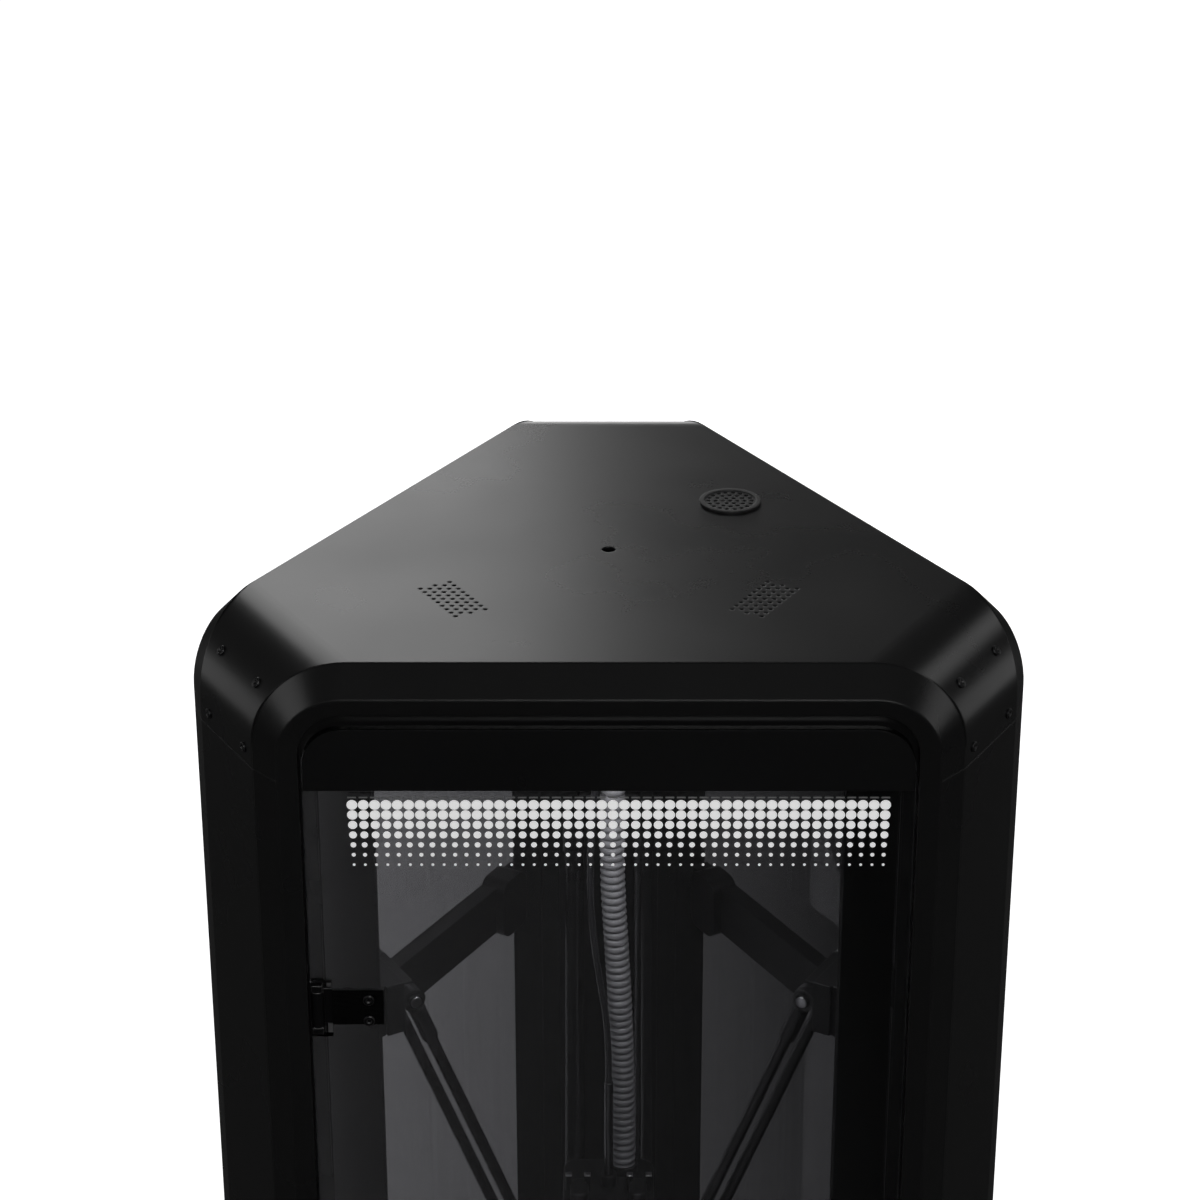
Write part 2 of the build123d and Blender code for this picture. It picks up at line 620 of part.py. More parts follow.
# Arms: a pair of tubes from each carriage to the effector, with a bored ring at each end.
arm_fall = carriage_height - effector_height
arm_run = pivot_distance - effector_radius
arm_length = sqrt(arm_fall ** 2 + arm_run ** 2)
ring_radius = 7.0
ring_width = arm_diameter + 1
fitting_length = 24.0
for name, turn in towers.items():
    arm_planes = []
    for x in (-arm_spacing / 2, arm_spacing / 2):
        top = tower(turn, x, pivot_distance, carriage_height)
        down = top.y_dir * (-arm_run / arm_length) - Vector(0, 0, 1) * (arm_fall / arm_length)
        arm_planes.append(Plane(origin=top.origin, x_dir=top.x_dir, z_dir=down))
    with BuildPart(*arm_planes) as arms:
        Cylinder(arm_diameter / 2, arm_length, align=ground)
        with Locations((0, 0, ring_radius), (0, 0, arm_length - ring_radius - fitting_length)):
            Cylinder(arm_diameter / 2 + 1.5, fitting_length, align=ground)
        with Locations((0, 0, 0), (0, 0, arm_length)):
            Cylinder(ring_radius, ring_width, rotation=(0, 90, 0))
        Cylinder(ball_pin / 2 + running_gap, 2 * arm_diameter, rotation=(0, 90, 0), mode=Mode.SUBTRACT)
        with Locations((0, 0, arm_length)):
            Cylinder(ball_pin / 2 + arm_gap, 2 * arm_diameter, rotation=(0, 90, 0), mode=Mode.SUBTRACT)
    save(arms, f"arms_{name}")

# Effector: the plate that carries the head, with a pin for each pair of arms.
hotend_radius = 11.0
effector_top = effector_height + effector_thickness / 2
lug_width = arm_spacing - arm_diameter - 7
with BuildPart(level(effector_height)) as effector_disc:
    Cylinder(27, effector_thickness)
lug_planes = [tower(turn, 0, effector_radius, effector_height) for turn in towers.values()]
with BuildPart(*lug_planes) as lugs:
    with Locations((0, -6, 0)):
        Box(lug_width, 2 * 6 + ball_pin, effector_thickness)
    Cylinder(ball_pin / 2, 2 * pin_reach, rotation=(0, 90, 0))
with BuildSketch(level(effector_height)) as hotend_hole:
    Circle(hotend_radius + clearance)
with BuildPart() as effector_plate:
    add(effector_disc.part)
    add(lugs.part)
    extrude(to_extrude=hotend_hole.sketch, amount=effector_thickness, both=True, mode=Mode.SUBTRACT)
save(effector_plate, "effector_plate")

# Hot end: a finned cooler, a heater block and the nozzle.
cooler_low = 300.0
cooler_high = 336.0
fin_pitch = 3.6
with BuildPart(level(cooler_low)) as hotend:
    Cylinder(6.5, cooler_high - cooler_low, align=ground)
    for fin in range(int((cooler_high - cooler_low) / fin_pitch)):
        with Locations((0, 0, fin * fin_pitch)):
            Cylinder(hotend_radius, 1.4, align=ground)
    Cylinder(2.5, 5, align=hanging)
    with Locations((3, 0, -4)):
        Box(22, 16, 11, align=hanging)
    with Locations((0, 0, -15)):
        Cylinder(4, 3, align=hanging)
    with Locations((0, 0, nozzle_tip - cooler_low)):
        Cone(0.8, 4, cooler_low - 18 - nozzle_tip, align=ground)
    Cylinder(1.2, 200, mode=Mode.SUBTRACT)
save(hotend, "hotend")

# Head housing: an upright rounded box on the effector, open below, with a fan opening in front.
head_wall = 2.0
head_round = 9.0
fan_height = 352.0
fan_radius = 16.0
feed_height = 386.0
fan_clear = 0.8
blade_turn = 32.0
blade_root = 5.0
blade_chord = 7.4
blade_gap = 1.2
hub_radius = 6.0
hub_length = 7.0
fan_pin = 1.0
with BuildPart(level(effector_top)) as head_housing:
    Box(head_width, head_depth, head_top - effector_top, align=ground)
    fillet(head_housing.edges().filter_by(Axis.Z), radius=head_round)
    housing_faces = head_housing.faces().sort_by(Axis.Z)
    offset(amount=-head_wall, openings=[housing_faces[0], housing_faces[-1]])
with BuildSketch(side(0, head_depth / 2)) as fan_opening:
    with Locations((0, fan_height)):
        Circle(fan_radius)
with BuildSketch(side(0, head_depth / 2)) as fan_spokes:
    with Locations((0, fan_height)):
        Circle(4)
        with PolarLocations(0, 3, start_angle=90):
            Rectangle(fan_radius + 1, 2, align=(Align.MIN, Align.CENTER))
with BuildSketch(side(0, head_depth / 2)) as fan_axle:
    with Locations((0, fan_height)):
        Circle(fan_pin)
with head_housing:
    extrude(to_extrude=fan_opening.sketch, amount=-head_wall, mode=Mode.SUBTRACT)
    extrude(to_extrude=fan_spokes.sketch, amount=-head_wall)
    extrude(to_extrude=fan_axle.sketch, amount=-head_wall - hub_length)
save(head_housing, "head_housing")

# Cooling fan: seven blades on a hub that turns on the housing's axle.
with BuildPart(side(0, head_depth / 2 - head_wall - fan_clear)) as fan_rotor:
    with Locations((0, fan_height, 0)):
        Cylinder(hub_radius, hub_length, align=hanging)
        with PolarLocations(0, 7):
            with Locations(Location((blade_root, 0, -3.4), (blade_turn, 0, 0))):
                Box(fan_radius - blade_gap - blade_root, blade_chord, 1.2,
                    align=(Align.MIN, Align.CENTER, Align.CENTER))
        Cylinder(fan_pin + running_gap, 20, mode=Mode.SUBTRACT)
save(fan_rotor, "fan_rotor")

# Filament feed: a flat motor with a cheek plate, and two grooved rollers that grip the filament.
sleeve_y = -2.0
roller_radius = 6.0
roller_width = 8.0
roller_pin = 2.0
filament_gap = 0.4
roller_place = roller_radius + filament_gap
feed_face = 4.0
feed_plane = Plane(origin=(0, axis_y, feed_height), x_dir=(1, 0, 0), z_dir=(0, 1, 0))
with BuildPart(feed_plane.offset(feed_face)) as feed_motor:
    with Locations((roller_place - 4, 0, 0)):
        Cylinder(17, 17, align=ground)
    with Locations((-2, 0, 0)):
        Box(34, 26, 1.6, align=ground)
    with Locations((-roller_place, 0, 0), (roller_place, 0, 0)):
        Cylinder(roller_pin, 11.5, align=hanging)
save(feed_motor, "feed_motor")
for name, x in (("drive", roller_place), ("pinch", -roller_place)):
    with BuildPart(feed_plane.offset(sleeve_y).move(Location((x, 0, 0)))) as roller:
        Cylinder(roller_radius, roller_width)
        with PolarLocations(roller_radius, 24):
            Cylinder(0.35, roller_width, mode=Mode.SUBTRACT)
        Torus(roller_radius + 0.2, 0.7, mode=Mode.SUBTRACT)
        Cylinder(roller_pin + running_gap, 2 * roller_width, mode=Mode.SUBTRACT)
    save(roller, f"{name}_roller")

# Head lid: closes the housing, with two rounded lobes, four posts and the hose's socket.
lid_thickness = 4.0
lobe_place = 18.0
lobe_size = (20, 11)
lobe_height = 7.0
post_radius = 2.0
post_places = [(-24.5, -8), (-13, -8), (13, -8), (24.5, -8)]
hose_place = (9.0, 14.0)
socket_wall = 1.6
socket_height = 6.0
with BuildPart(level(head_top)) as head_lid:
    Box(head_width, head_depth, lid_thickness, align=ground)
    fillet(head_lid.edges().filter_by(Axis.Z), radius=head_round)
    fillet(head_lid.edges().group_by(Axis.Z)[-1], radius=1.5)
    with BuildSketch(level(head_top + lid_thickness)):
        with Locations((-lobe_place, -14), (lobe_place, -14)):
            SlotOverall(*lobe_size, rotation=90)
    extrude(amount=lobe_height)
    fillet(head_lid.faces().sort_by(Axis.Z)[-2:].edges(), radius=2.5)
    with Locations(*[(x, y, lid_thickness) for x, y in post_places]):
        Cylinder(post_radius, post_top - head_top - lid_thickness, align=ground)
    with Locations((*hose_place, lid_thickness)):
        Cylinder(hose_diameter / 2 + socket_wall, socket_height, align=ground)
        Cylinder(hose_diameter / 2 + 0.1, socket_height, align=ground, mode=Mode.SUBTRACT)
    with Locations((0, sleeve_y, 0)):
        Cylinder(sleeve_diameter / 2, 30, mode=Mode.SUBTRACT)
save(head_lid, "head_lid")

# Sleeve: the metal guide that takes the filament from its tube down to the feed rollers.
with BuildPart(level(head_top)) as tube_sleeve:
    with Locations((0, sleeve_y, 0)):
        Cylinder(sleeve_diameter / 2, sleeve_top - head_top, align=ground)
        Cylinder(1.2, 2 * sleeve_top, mode=Mode.SUBTRACT)
save(tube_sleeve, "tube_sleeve")


def hung_tube(points, diameter, name):
    """A hose or tube along straight runs and tangent arcs, each arc as large as its runs allow."""
    route = [Vector(x, y + axis_y, z) for x, y, z in points]
    runs = [after - before for before, after in zip(route, route[1:])]
    radii = []
    for before, after in zip(runs, runs[1:]):
        half_turn = radians(before.get_angle(after)) / 2
        radii.append(0.45 * min(before.length, after.length) / tan(half_turn))
    with BuildLine() as path:
        FilletPolyline(*route, radius=radii)
    with BuildPart() as tube:
        with BuildSketch(Plane(origin=route[0], z_dir=runs[0])):
            Circle(diameter / 2)
        sweep(path=path.wire())
    length = path.wire().length
    print(name, "length", round(length, 1), "arc radii", [round(radius) for radius in radii])
    section = pi * diameter ** 2 / 4
    print(name, "volume", round(tube.part.volume), "section x length", round(section * length))
    save(tube, name)


# Corrugated air hose, from the ceiling down into the socket on the head's lid.
hose_route = [
    (4, 12, ceiling_height),
    (4, 12, ceiling_height - 62),
    (1, 8, ceiling_height - 157),
    (7, 11, ceiling_height - 257),
    (*hose_place, head_top + 58),
    (*hose_place, head_top + lid_thickness),
]
hung_tube(hose_route, hose_diameter, "air_hose")

# Filament tube, from under the port in the cap, through the ceiling, down to the sleeve.
tube_route = [
    (0, 0, overall_height - 13),
    (0, 0, ceiling_height - 15),
    (-4, -1, ceiling_height - 69),
    (-10, -3, ceiling_height - 125),
    (-11.5, -4, ceiling_height - 182),
    (-6, -3.5, ceiling_height - 232),
    (0, sleeve_y, sleeve_top + 38),
    (0, sleeve_y, sleeve_top),
]
hung_tube(tube_route, tube_diameter, "filament_tube")

# Bed: a round heated plate on the base's posts, and the loose build plate with its tab.
bed_bottom = base_top + bed_lift
with BuildPart(level(bed_bottom)) as heated_bed:
    Cylinder(bed_diameter / 2, bed_thickness, align=ground)
    chamfer(heated_bed.edges().group_by(Axis.Z)[-1], length=0.6)
save(heated_bed, "heated_bed")
tab_width = 42.0
tab_reach = 6.0
with BuildPart(level(bed_bottom + bed_thickness)) as build_plate:
    Cylinder(plate_diameter / 2, plate_thickness, align=ground)
    with Locations((0, -plate_diameter / 2, 0)):
        Box(tab_width, 2 * tab_reach, plate_thickness, align=ground)
save(build_plate, "build_plate")

# Door: a pane like the side ones, notched for its hinges and drilled for its handle.
handle_x = glass_half - 22
handle_height = 400.0
handle_length = 110.0
handle_posts = 84.0
handle_depth = 7.0
handle_width = 14.0
handle_post_radius = 5.0
screw_hole = 2.1
post_heights = (handle_height - handle_posts / 2, handle_height + handle_posts / 2)
with BuildSketch(side(0, glass_front)) as door_cuts:
    with Locations(*[(-glass_half, height) for height in hinge_heights]):
        Rectangle(2 * (hinge_inset + 8), notch_length)
    with Locations(*[(handle_x, height) for height in post_heights]):
        Circle(screw_hole)
with BuildPart() as door_glass:
    extrude(to_extrude=panes["front"], amount=-glass)
    extrude(to_extrude=door_cuts.sketch, amount=-glass, mode=Mode.SUBTRACT)
save(door_glass, "door_glass")

# Hinges: a barrel and leaf on the door, between two knuckles with a pin on the frame.
barrel_radius = 3.5
hinge_pin = 1.5
leaf_reach = 36.0
leaf_thickness = 1.8
leaf_screw = 28.0         # from the hinge axis to the leaf's two screws
leaf_screw_half = 6.5
glass_back = glass_front - glass
hinge_planes = [level(height) for height in hinge_heights]
with BuildPart(*hinge_planes) as hinge_leaves:
    with Locations((hinge_axis, -hinge_distance, 0)):
        Cylinder(barrel_radius, barrel_length)
    with Locations((hinge_axis, -glass_back, 0)):
        Box(leaf_reach, leaf_thickness, barrel_length, align=(Align.MIN, Align.MIN, Align.CENTER))
    with Locations((hinge_axis + leaf_reach / 2 - 2, -glass_back + leaf_thickness, 0)):
        Cylinder(leaf_thickness - 0.1, barrel_length)
    for z in (-leaf_screw_half, leaf_screw_half):
        with Locations((hinge_axis + leaf_screw, -glass_back + leaf_thickness, z)):
            Cylinder(2.4, 2.4, rotation=(90, 0, 0))
    with Locations((hinge_axis, -hinge_distance, 0)):
        Cylinder(hinge_pin + running_gap, 2 * barrel_length, mode=Mode.SUBTRACT)
save(hinge_leaves, "hinge_leaves")
knuckle_place = barrel_length / 2 + 0.3 + knuckle / 2
knuckle_front = hinge_distance + 3
with BuildPart(*hinge_planes) as door_hinges:
    for z in (-knuckle_place, knuckle_place):
        with Locations((hinge_axis, -seat_distance, z)):
            Box(2 * (hinge_inset - 0.5), knuckle_front - seat_distance, knuckle,
                align=(Align.CENTER, Align.MAX, Align.CENTER))
    with Locations((hinge_axis, -hinge_distance, 0)):
        Cylinder(hinge_pin, 2 * knuckle_place + knuckle)
save(door_hinges, "door_hinges")

# Handle: a flat bar on two posts, held through the glass by two screws.
with BuildPart(side(0, glass_front)) as door_handle:
    with Locations(*[(handle_x, height, 0) for height in post_heights]):
        Cylinder(handle_post_radius, front_reach - glass_front - handle_depth + 1, align=ground)
    with Locations((handle_x, handle_height, front_reach - glass_front)):
        Box(handle_width, handle_length, handle_depth, align=hanging)
    fillet(door_handle.faces().sort_by(Axis.Y)[0].edges(), radius=2.5)
save(door_handle, "door_handle")
with BuildPart(side(0, glass_front)) as handle_screws:
    with Locations(*[(handle_x, height, 0) for height in post_heights]):
        Cylinder(screw_hole - 0.1, glass, align=hanging)
    with Locations(*[(handle_x, height, -glass) for height in post_heights]):
        Cylinder(4, 2, align=hanging)
save(handle_screws, "handle_screws")
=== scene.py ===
import json
import math
import bpy
from mathutils import Matrix, Vector


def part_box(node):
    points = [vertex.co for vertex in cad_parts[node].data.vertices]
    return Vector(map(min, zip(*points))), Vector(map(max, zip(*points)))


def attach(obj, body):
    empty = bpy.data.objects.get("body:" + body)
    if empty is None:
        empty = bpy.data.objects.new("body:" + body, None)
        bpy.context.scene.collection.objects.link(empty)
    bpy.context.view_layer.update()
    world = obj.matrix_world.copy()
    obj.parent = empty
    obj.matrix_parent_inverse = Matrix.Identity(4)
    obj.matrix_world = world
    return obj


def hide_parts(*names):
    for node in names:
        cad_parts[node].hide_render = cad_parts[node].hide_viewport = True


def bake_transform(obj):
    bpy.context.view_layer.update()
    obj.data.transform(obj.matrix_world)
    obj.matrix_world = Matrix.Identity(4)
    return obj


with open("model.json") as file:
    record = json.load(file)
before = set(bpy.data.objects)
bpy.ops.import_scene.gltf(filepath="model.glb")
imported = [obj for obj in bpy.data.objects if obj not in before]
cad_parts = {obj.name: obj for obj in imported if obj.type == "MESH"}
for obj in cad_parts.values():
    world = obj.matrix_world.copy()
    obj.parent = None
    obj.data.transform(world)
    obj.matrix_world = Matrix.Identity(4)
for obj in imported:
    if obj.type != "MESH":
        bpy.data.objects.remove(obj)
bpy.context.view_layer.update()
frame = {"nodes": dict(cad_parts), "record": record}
print("frame loaded")

# places read from the frame, in metres
capLow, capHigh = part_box("top_cap")
axisY = (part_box("heated_bed")[0].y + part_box("heated_bed")[1].y) / 2
seamZ = capLow.z
topZ = capHigh.z


# shader helpers
def newGroup(name, inputs, outputs):
    group = bpy.data.node_groups.new(name, "ShaderNodeTree")
    for label, kind, value in inputs:
        socket = group.interface.new_socket(label, in_out="INPUT", socket_type=kind)
        if value is not None:
            socket.default_value = value
    for label, kind in outputs:
        group.interface.new_socket(label, in_out="OUTPUT", socket_type=kind)
    start = group.nodes.new("NodeGroupInput")
    end = group.nodes.new("NodeGroupOutput")
    return group, start, end


def addNode(tree, kind, **values):
    node = tree.nodes.new(kind)
    for key, value in values.items():
        if hasattr(node, key):
            setattr(node, key, value)
        else:
            node.inputs[key].default_value = value
    return node


def wire(tree, source, target):
    tree.links.new(source, target)


def math2(tree, operation, first, second):
    node = tree.nodes.new("ShaderNodeMath")
    node.operation = operation
    for index, value in enumerate((first, second)):
        if isinstance(value, (int, float)):
            node.inputs[index].default_value = value
        else:
            tree.links.new(value, node.inputs[index])
    return node.outputs[0]


# grain: the fine orange peel of powder coat or the fine etch of a mould, as a height and a mask
def makeGrain():
    group, start, end = newGroup(
        "surfaceGrain",
        [
            ("Coordinates", "NodeSocketVector", None),
            ("Scale", "NodeSocketFloat", 900.0),
            ("Unevenness", "NodeSocketFloat", 0.3),
        ],
        [("Height", "NodeSocketFloat"), ("Mask", "NodeSocketFloat")],
    )
    fine = addNode(group, "ShaderNodeTexNoise", Detail=4.0, Roughness=0.6)
    broad = addNode(group, "ShaderNodeTexNoise", Scale=9.0, Detail=3.0)
    wire(group, start.outputs["Coordinates"], fine.inputs["Vector"])
    wire(group, start.outputs["Scale"], fine.inputs["Scale"])
    wire(group, start.outputs["Coordinates"], broad.inputs["Vector"])
    lift = math2(group, "MULTIPLY", broad.outputs["Fac"], start.outputs["Unevenness"])
    wire(group, math2(group, "ADD", fine.outputs["Fac"], lift), end.inputs["Height"])
    wire(group, broad.outputs["Fac"], end.inputs["Mask"])
    return group


wearGain = 6.0


# wear: 1 along edges, broken up by noise, from how far the bevelled normal leans; that normal too
def makeEdgeWear():
    group, start, end = newGroup(
        "edgeWear",
        [
            ("Coordinates", "NodeSocketVector", None),
            ("Width", "NodeSocketFloat", 0.0012),
            ("Amount", "NodeSocketFloat", 1.0),
        ],
        [("Mask", "NodeSocketFloat"), ("Normal", "NodeSocketVector")],
    )
    bevel = group.nodes.new("ShaderNodeBevel")
    bevel.samples = 4
    wire(group, start.outputs["Width"], bevel.inputs["Radius"])
    shape = group.nodes.new("ShaderNodeNewGeometry")
    dot = group.nodes.new("ShaderNodeVectorMath")
    dot.operation = "DOT_PRODUCT"
    wire(group, bevel.outputs["Normal"], dot.inputs[0])
    wire(group, bevel.outputs["Normal"], end.inputs["Normal"])
    wire(group, shape.outputs["Normal"], dot.inputs[1])
    edge = math2(group, "SUBTRACT", 1.0, dot.outputs["Value"])
    patch = addNode(group, "ShaderNodeTexNoise", Scale=120.0, Detail=5.0)
    wire(group, start.outputs["Coordinates"], patch.inputs["Vector"])
    broken = math2(group, "MULTIPLY", edge, patch.outputs["Fac"])
    strong = math2(group, "MULTIPLY", broken, wearGain)
    mask = math2(group, "MULTIPLY", strong, start.outputs["Amount"])
    wire(group, math2(group, "MINIMUM", mask, 1.0), end.inputs["Mask"])
    return group


# dust: a thin film on faces that look up, in soft patches
def makeDust():
    group, start, end = newGroup(
        "dustFilm",
        [("Coordinates", "NodeSocketVector", None), ("Amount", "NodeSocketFloat", 0.1)],
        [("Mask", "NodeSocketFloat")],
    )
    shape = group.nodes.new("ShaderNodeNewGeometry")
    split = group.nodes.new("ShaderNodeSeparateXYZ")
    wire(group, shape.outputs["Normal"], split.inputs[0])
    upward = math2(group, "MAXIMUM", split.outputs["Z"], 0.0)
    cloud = addNode(group, "ShaderNodeTexNoise", Scale=14.0, Detail=6.0, Roughness=0.62)
    specks = addNode(group, "ShaderNodeTexNoise", Scale=700.0, Detail=2.0)
    wire(group, start.outputs["Coordinates"], cloud.inputs["Vector"])
    wire(group, start.outputs["Coordinates"], specks.inputs["Vector"])
    mixed = math2(group, "MULTIPLY", cloud.outputs["Fac"], specks.outputs["Fac"])
    layer = math2(group, "MULTIPLY", mixed, upward)
    wire(group, math2(group, "MULTIPLY", layer, start.outputs["Amount"]), end.inputs["Mask"])
    return group


grainGroup = makeGrain()
wearGroup = makeEdgeWear()
dustGroup = makeDust()


shared = {"grainDepth": 0.00008, "dustColour": (0.45, 0.44, 0.42, 1), "smoother": 0.05, "rougher": 0.07}


# one finish: base colour varied by grain, lighter worn edges, dust, roughness and bump, and an emission: a
# lamp's own glow, and on the white print a painted glow
def makeFinish(name, look):
    material = bpy.data.materials.new(name)
    material.use_nodes = True
    tree = material.node_tree
    shader = tree.nodes["Principled BSDF"]
    shader.inputs["Metallic"].default_value = look.get("metal", 0.0)
    shader.inputs["Coat Roughness"].default_value = look.get("coatRough", 0.1)
    shader.inputs["Coat Weight"].default_value = look.get("coat", 0.0)
    # emission: a lamp's real glow, and on the white print painted light, a glow on a part that is no lamp
    shader.inputs["Emission Color"].default_value = (1, 1, 1, 1)
    shader.inputs["Emission Strength"].default_value = look.get("lampAndPaintedGlow", 0.0)
    place = tree.nodes.new("ShaderNodeTexCoord")
    grain = addNode(tree, "ShaderNodeGroup", node_tree=grainGroup)
    grain.inputs["Scale"].default_value = look.get("grain", 900.0)
    grain.inputs["Unevenness"].default_value = look.get("uneven", 0.3)
    wear = addNode(tree, "ShaderNodeGroup", node_tree=wearGroup)
    wear.inputs["Amount"].default_value = look.get("wear", 0.5)
    wear.inputs["Width"].default_value = look.get("wearWidth", 0.0010)
    dust = addNode(tree, "ShaderNodeGroup", node_tree=dustGroup)
    dust.inputs["Amount"].default_value = look.get("dust", 0.1)
    for group in (grain, wear, dust):
        wire(tree, place.outputs["Object"], group.inputs["Coordinates"])
    shade = tree.nodes.new("ShaderNodeMix")
    shade.data_type = "RGBA"
    shade.inputs["A"].default_value = (*look["dark"], 1)
    shade.inputs["B"].default_value = (*look["light"], 1)
    wire(tree, grain.outputs["Mask"], shade.inputs["Factor"])
    worn = tree.nodes.new("ShaderNodeMix")
    worn.data_type = "RGBA"
    worn.inputs["B"].default_value = (*look.get("edge", look["light"]), 1)
    wire(tree, shade.outputs["Result"], worn.inputs["A"])
    wire(tree, wear.outputs["Mask"], worn.inputs["Factor"])
    dusty = tree.nodes.new("ShaderNodeMix")
    dusty.data_type = "RGBA"
    dusty.inputs["B"].default_value = shared["dustColour"]
    wire(tree, worn.outputs["Result"], dusty.inputs["A"])
    wire(tree, dust.outputs["Mask"], dusty.inputs["Factor"])
    wire(tree, dusty.outputs["Result"], shader.inputs["Base Color"])
    spread = tree.nodes.new("ShaderNodeMapRange")
    spread.inputs["To Min"].default_value = look["rough"] - shared["smoother"]
    spread.inputs["To Max"].default_value = look["rough"] + shared["rougher"]
    wire(tree, grain.outputs["Mask"], spread.inputs["Value"])
    roughness = math2(tree, "ADD", spread.outputs["Result"], dust.outputs["Mask"])
    wire(tree, roughness, shader.inputs["Roughness"])
    bump = addNode(tree, "ShaderNodeBump", Strength=look.get("bump", 0.15), Distance=shared["grainDepth"])
    wire(tree, grain.outputs["Height"], bump.inputs["Height"])
    wire(tree, wear.outputs["Normal"], bump.inputs["Normal"])
    wire(tree, bump.outputs["Normal"], shader.inputs["Normal"])
    return material


finishes = {
    "black_sheet": {
        "dark": (0.0065, 0.0065, 0.0068), "light": (0.0095, 0.0095, 0.0098), "edge": (0.05, 0.05, 0.05),
        "rough": 0.27, "grain": 1500, "bump": 0.12, "uneven": 0.2, "wear": 0.25, "wearWidth": 0.0012,
        "dust": 0.012,
    },
    "grey_sheet": {
        "dark": (0.012, 0.012, 0.0125), "light": (0.02, 0.02, 0.0205), "edge": (0.1, 0.1, 0.1),
        "rough": 0.42, "grain": 1200, "bump": 0.2, "wear": 0.3, "dust": 0.02,
    },
    "black_steel": {
        "dark": (0.012, 0.012, 0.013), "light": (0.03, 0.03, 0.032), "edge": (0.3, 0.3, 0.3),
        "rough": 0.3, "metal": 0.85, "grain": 1600, "wear": 0.8, "dust": 0.01,
    },
    "dark_plastic": {
        "dark": (0.01, 0.01, 0.0105), "light": (0.018, 0.018, 0.019), "edge": (0.1, 0.1, 0.1),
        "rough": 0.42, "grain": 2200, "bump": 0.2, "wear": 0.4, "dust": 0.02,
    },
    "screen_glass": {
        "dark": (0.004, 0.004, 0.005), "light": (0.01, 0.01, 0.012), "rough": 0.1, "coat": 0.8,
        "coatRough": 0.03, "grain": 300, "bump": 0.02, "wear": 0.1, "dust": 0.12,
    },
    "seal_rubber": {
        "dark": (0.008, 0.008, 0.008), "light": (0.014, 0.014, 0.014), "rough": 0.7, "grain": 1100,
        "bump": 0.3, "wear": 0.2, "dust": 0.03,
    },
    "belt_rubber": {
        "dark": (0.01, 0.01, 0.01), "light": (0.02, 0.02, 0.02), "edge": (0.08, 0.08, 0.08),
        "rough": 0.6, "grain": 2400, "bump": 0.3, "wear": 0.4, "dust": 0.02,
    },
    "pulley_metal": {
        "dark": (0.5, 0.5, 0.52), "light": (0.66, 0.66, 0.68), "edge": (0.85, 0.85, 0.85),
        "rough": 0.28, "metal": 1.0, "grain": 1800, "wear": 0.6, "dust": 0.05,
    },
    "bare_metal": {
        "dark": (0.34, 0.34, 0.36), "light": (0.5, 0.5, 0.52), "edge": (0.75, 0.75, 0.75),
        "rough": 0.38, "metal": 1.0, "grain": 1300, "wear": 0.5, "dust": 0.08,
    },
    "bright_steel": {
        "dark": (0.16, 0.16, 0.165), "light": (0.24, 0.24, 0.245), "edge": (0.6, 0.6, 0.6),
        "rough": 0.24, "metal": 1.0, "grain": 2600, "bump": 0.05, "wear": 0.3, "dust": 0.01,
    },
    "arm_carbon": {
        "dark": (0.01, 0.01, 0.011), "light": (0.022, 0.022, 0.023), "edge": (0.09, 0.09, 0.09),
        "rough": 0.24, "coat": 0.5, "coatRough": 0.12, "grain": 2000, "bump": 0.1, "wear": 0.4,
        "dust": 0.01,
    },
    "board_green": {
        "dark": (0.008, 0.06, 0.025), "light": (0.02, 0.11, 0.045), "rough": 0.35, "coat": 0.3,
        "grain": 900, "wear": 0.2, "dust": 0.2,
    },
    "lamp_white": {
        "dark": (0.78, 0.8, 0.84), "light": (0.88, 0.9, 0.93), "rough": 0.35, "grain": 700,
        "bump": 0.05, "wear": 0.1, "dust": 0.1, "lampAndPaintedGlow": 0.25,
    },
    "hose_plastic": {
        "dark": (0.42, 0.42, 0.44), "light": (0.58, 0.58, 0.6), "edge": (0.7, 0.7, 0.72), "rough": 0.3,
        "coat": 0.3, "coatRough": 0.2, "grain": 1600, "bump": 0.08, "wear": 0.2, "dust": 0.1,
    },
    "tube_plastic": {
        "dark": (0.02, 0.02, 0.022), "light": (0.05, 0.05, 0.055), "edge": (0.3, 0.3, 0.3),
        "rough": 0.24, "coat": 0.5, "grain": 900, "bump": 0.04, "wear": 0.1, "dust": 0.03,
    },
    "plate_coating": {
        "dark": (0.035, 0.034, 0.03), "light": (0.075, 0.07, 0.058), "edge": (0.3, 0.28, 0.24),
        "rough": 0.55, "grain": 2600, "bump": 0.6, "wear": 0.6, "dust": 0.1,
    },
    "brass": {
        "dark": (0.52, 0.36, 0.14), "light": (0.68, 0.5, 0.22), "edge": (0.9, 0.7, 0.4), "rough": 0.3,
        "metal": 1.0, "grain": 1500, "wear": 0.5, "dust": 0.05,
    },
    # the white print glows with painted light that brightens the dots, though they are no lamp
    "printed_white": {
        "dark": (0.74, 0.74, 0.74), "light": (0.86, 0.86, 0.86), "rough": 0.4, "grain": 1200,
        "bump": 0.04, "wear": 0.0, "dust": 0.1, "lampAndPaintedGlow": 0.42,
    },
    "printed_grey": {
        "dark": (0.2, 0.2, 0.2), "light": (0.28, 0.28, 0.28), "rough": 0.4, "grain": 1200, "bump": 0.03,
        "wear": 0.0, "dust": 0.02,
    },
    "printed_black": {
        "dark": (0.004, 0.004, 0.0045), "light": (0.007, 0.007, 0.0075), "rough": 0.28, "grain": 1200,
        "bump": 0.03, "wear": 0.0, "dust": 0.01,
    },
}
materials = {name: makeFinish(name, look) for name, look in finishes.items()}


glassLook = {"tint": (0.30, 0.30, 0.31), "cloudier": 1.06, "bending": 1.46, "smudge": 0.012,
             "smudgeScale": 22.0}


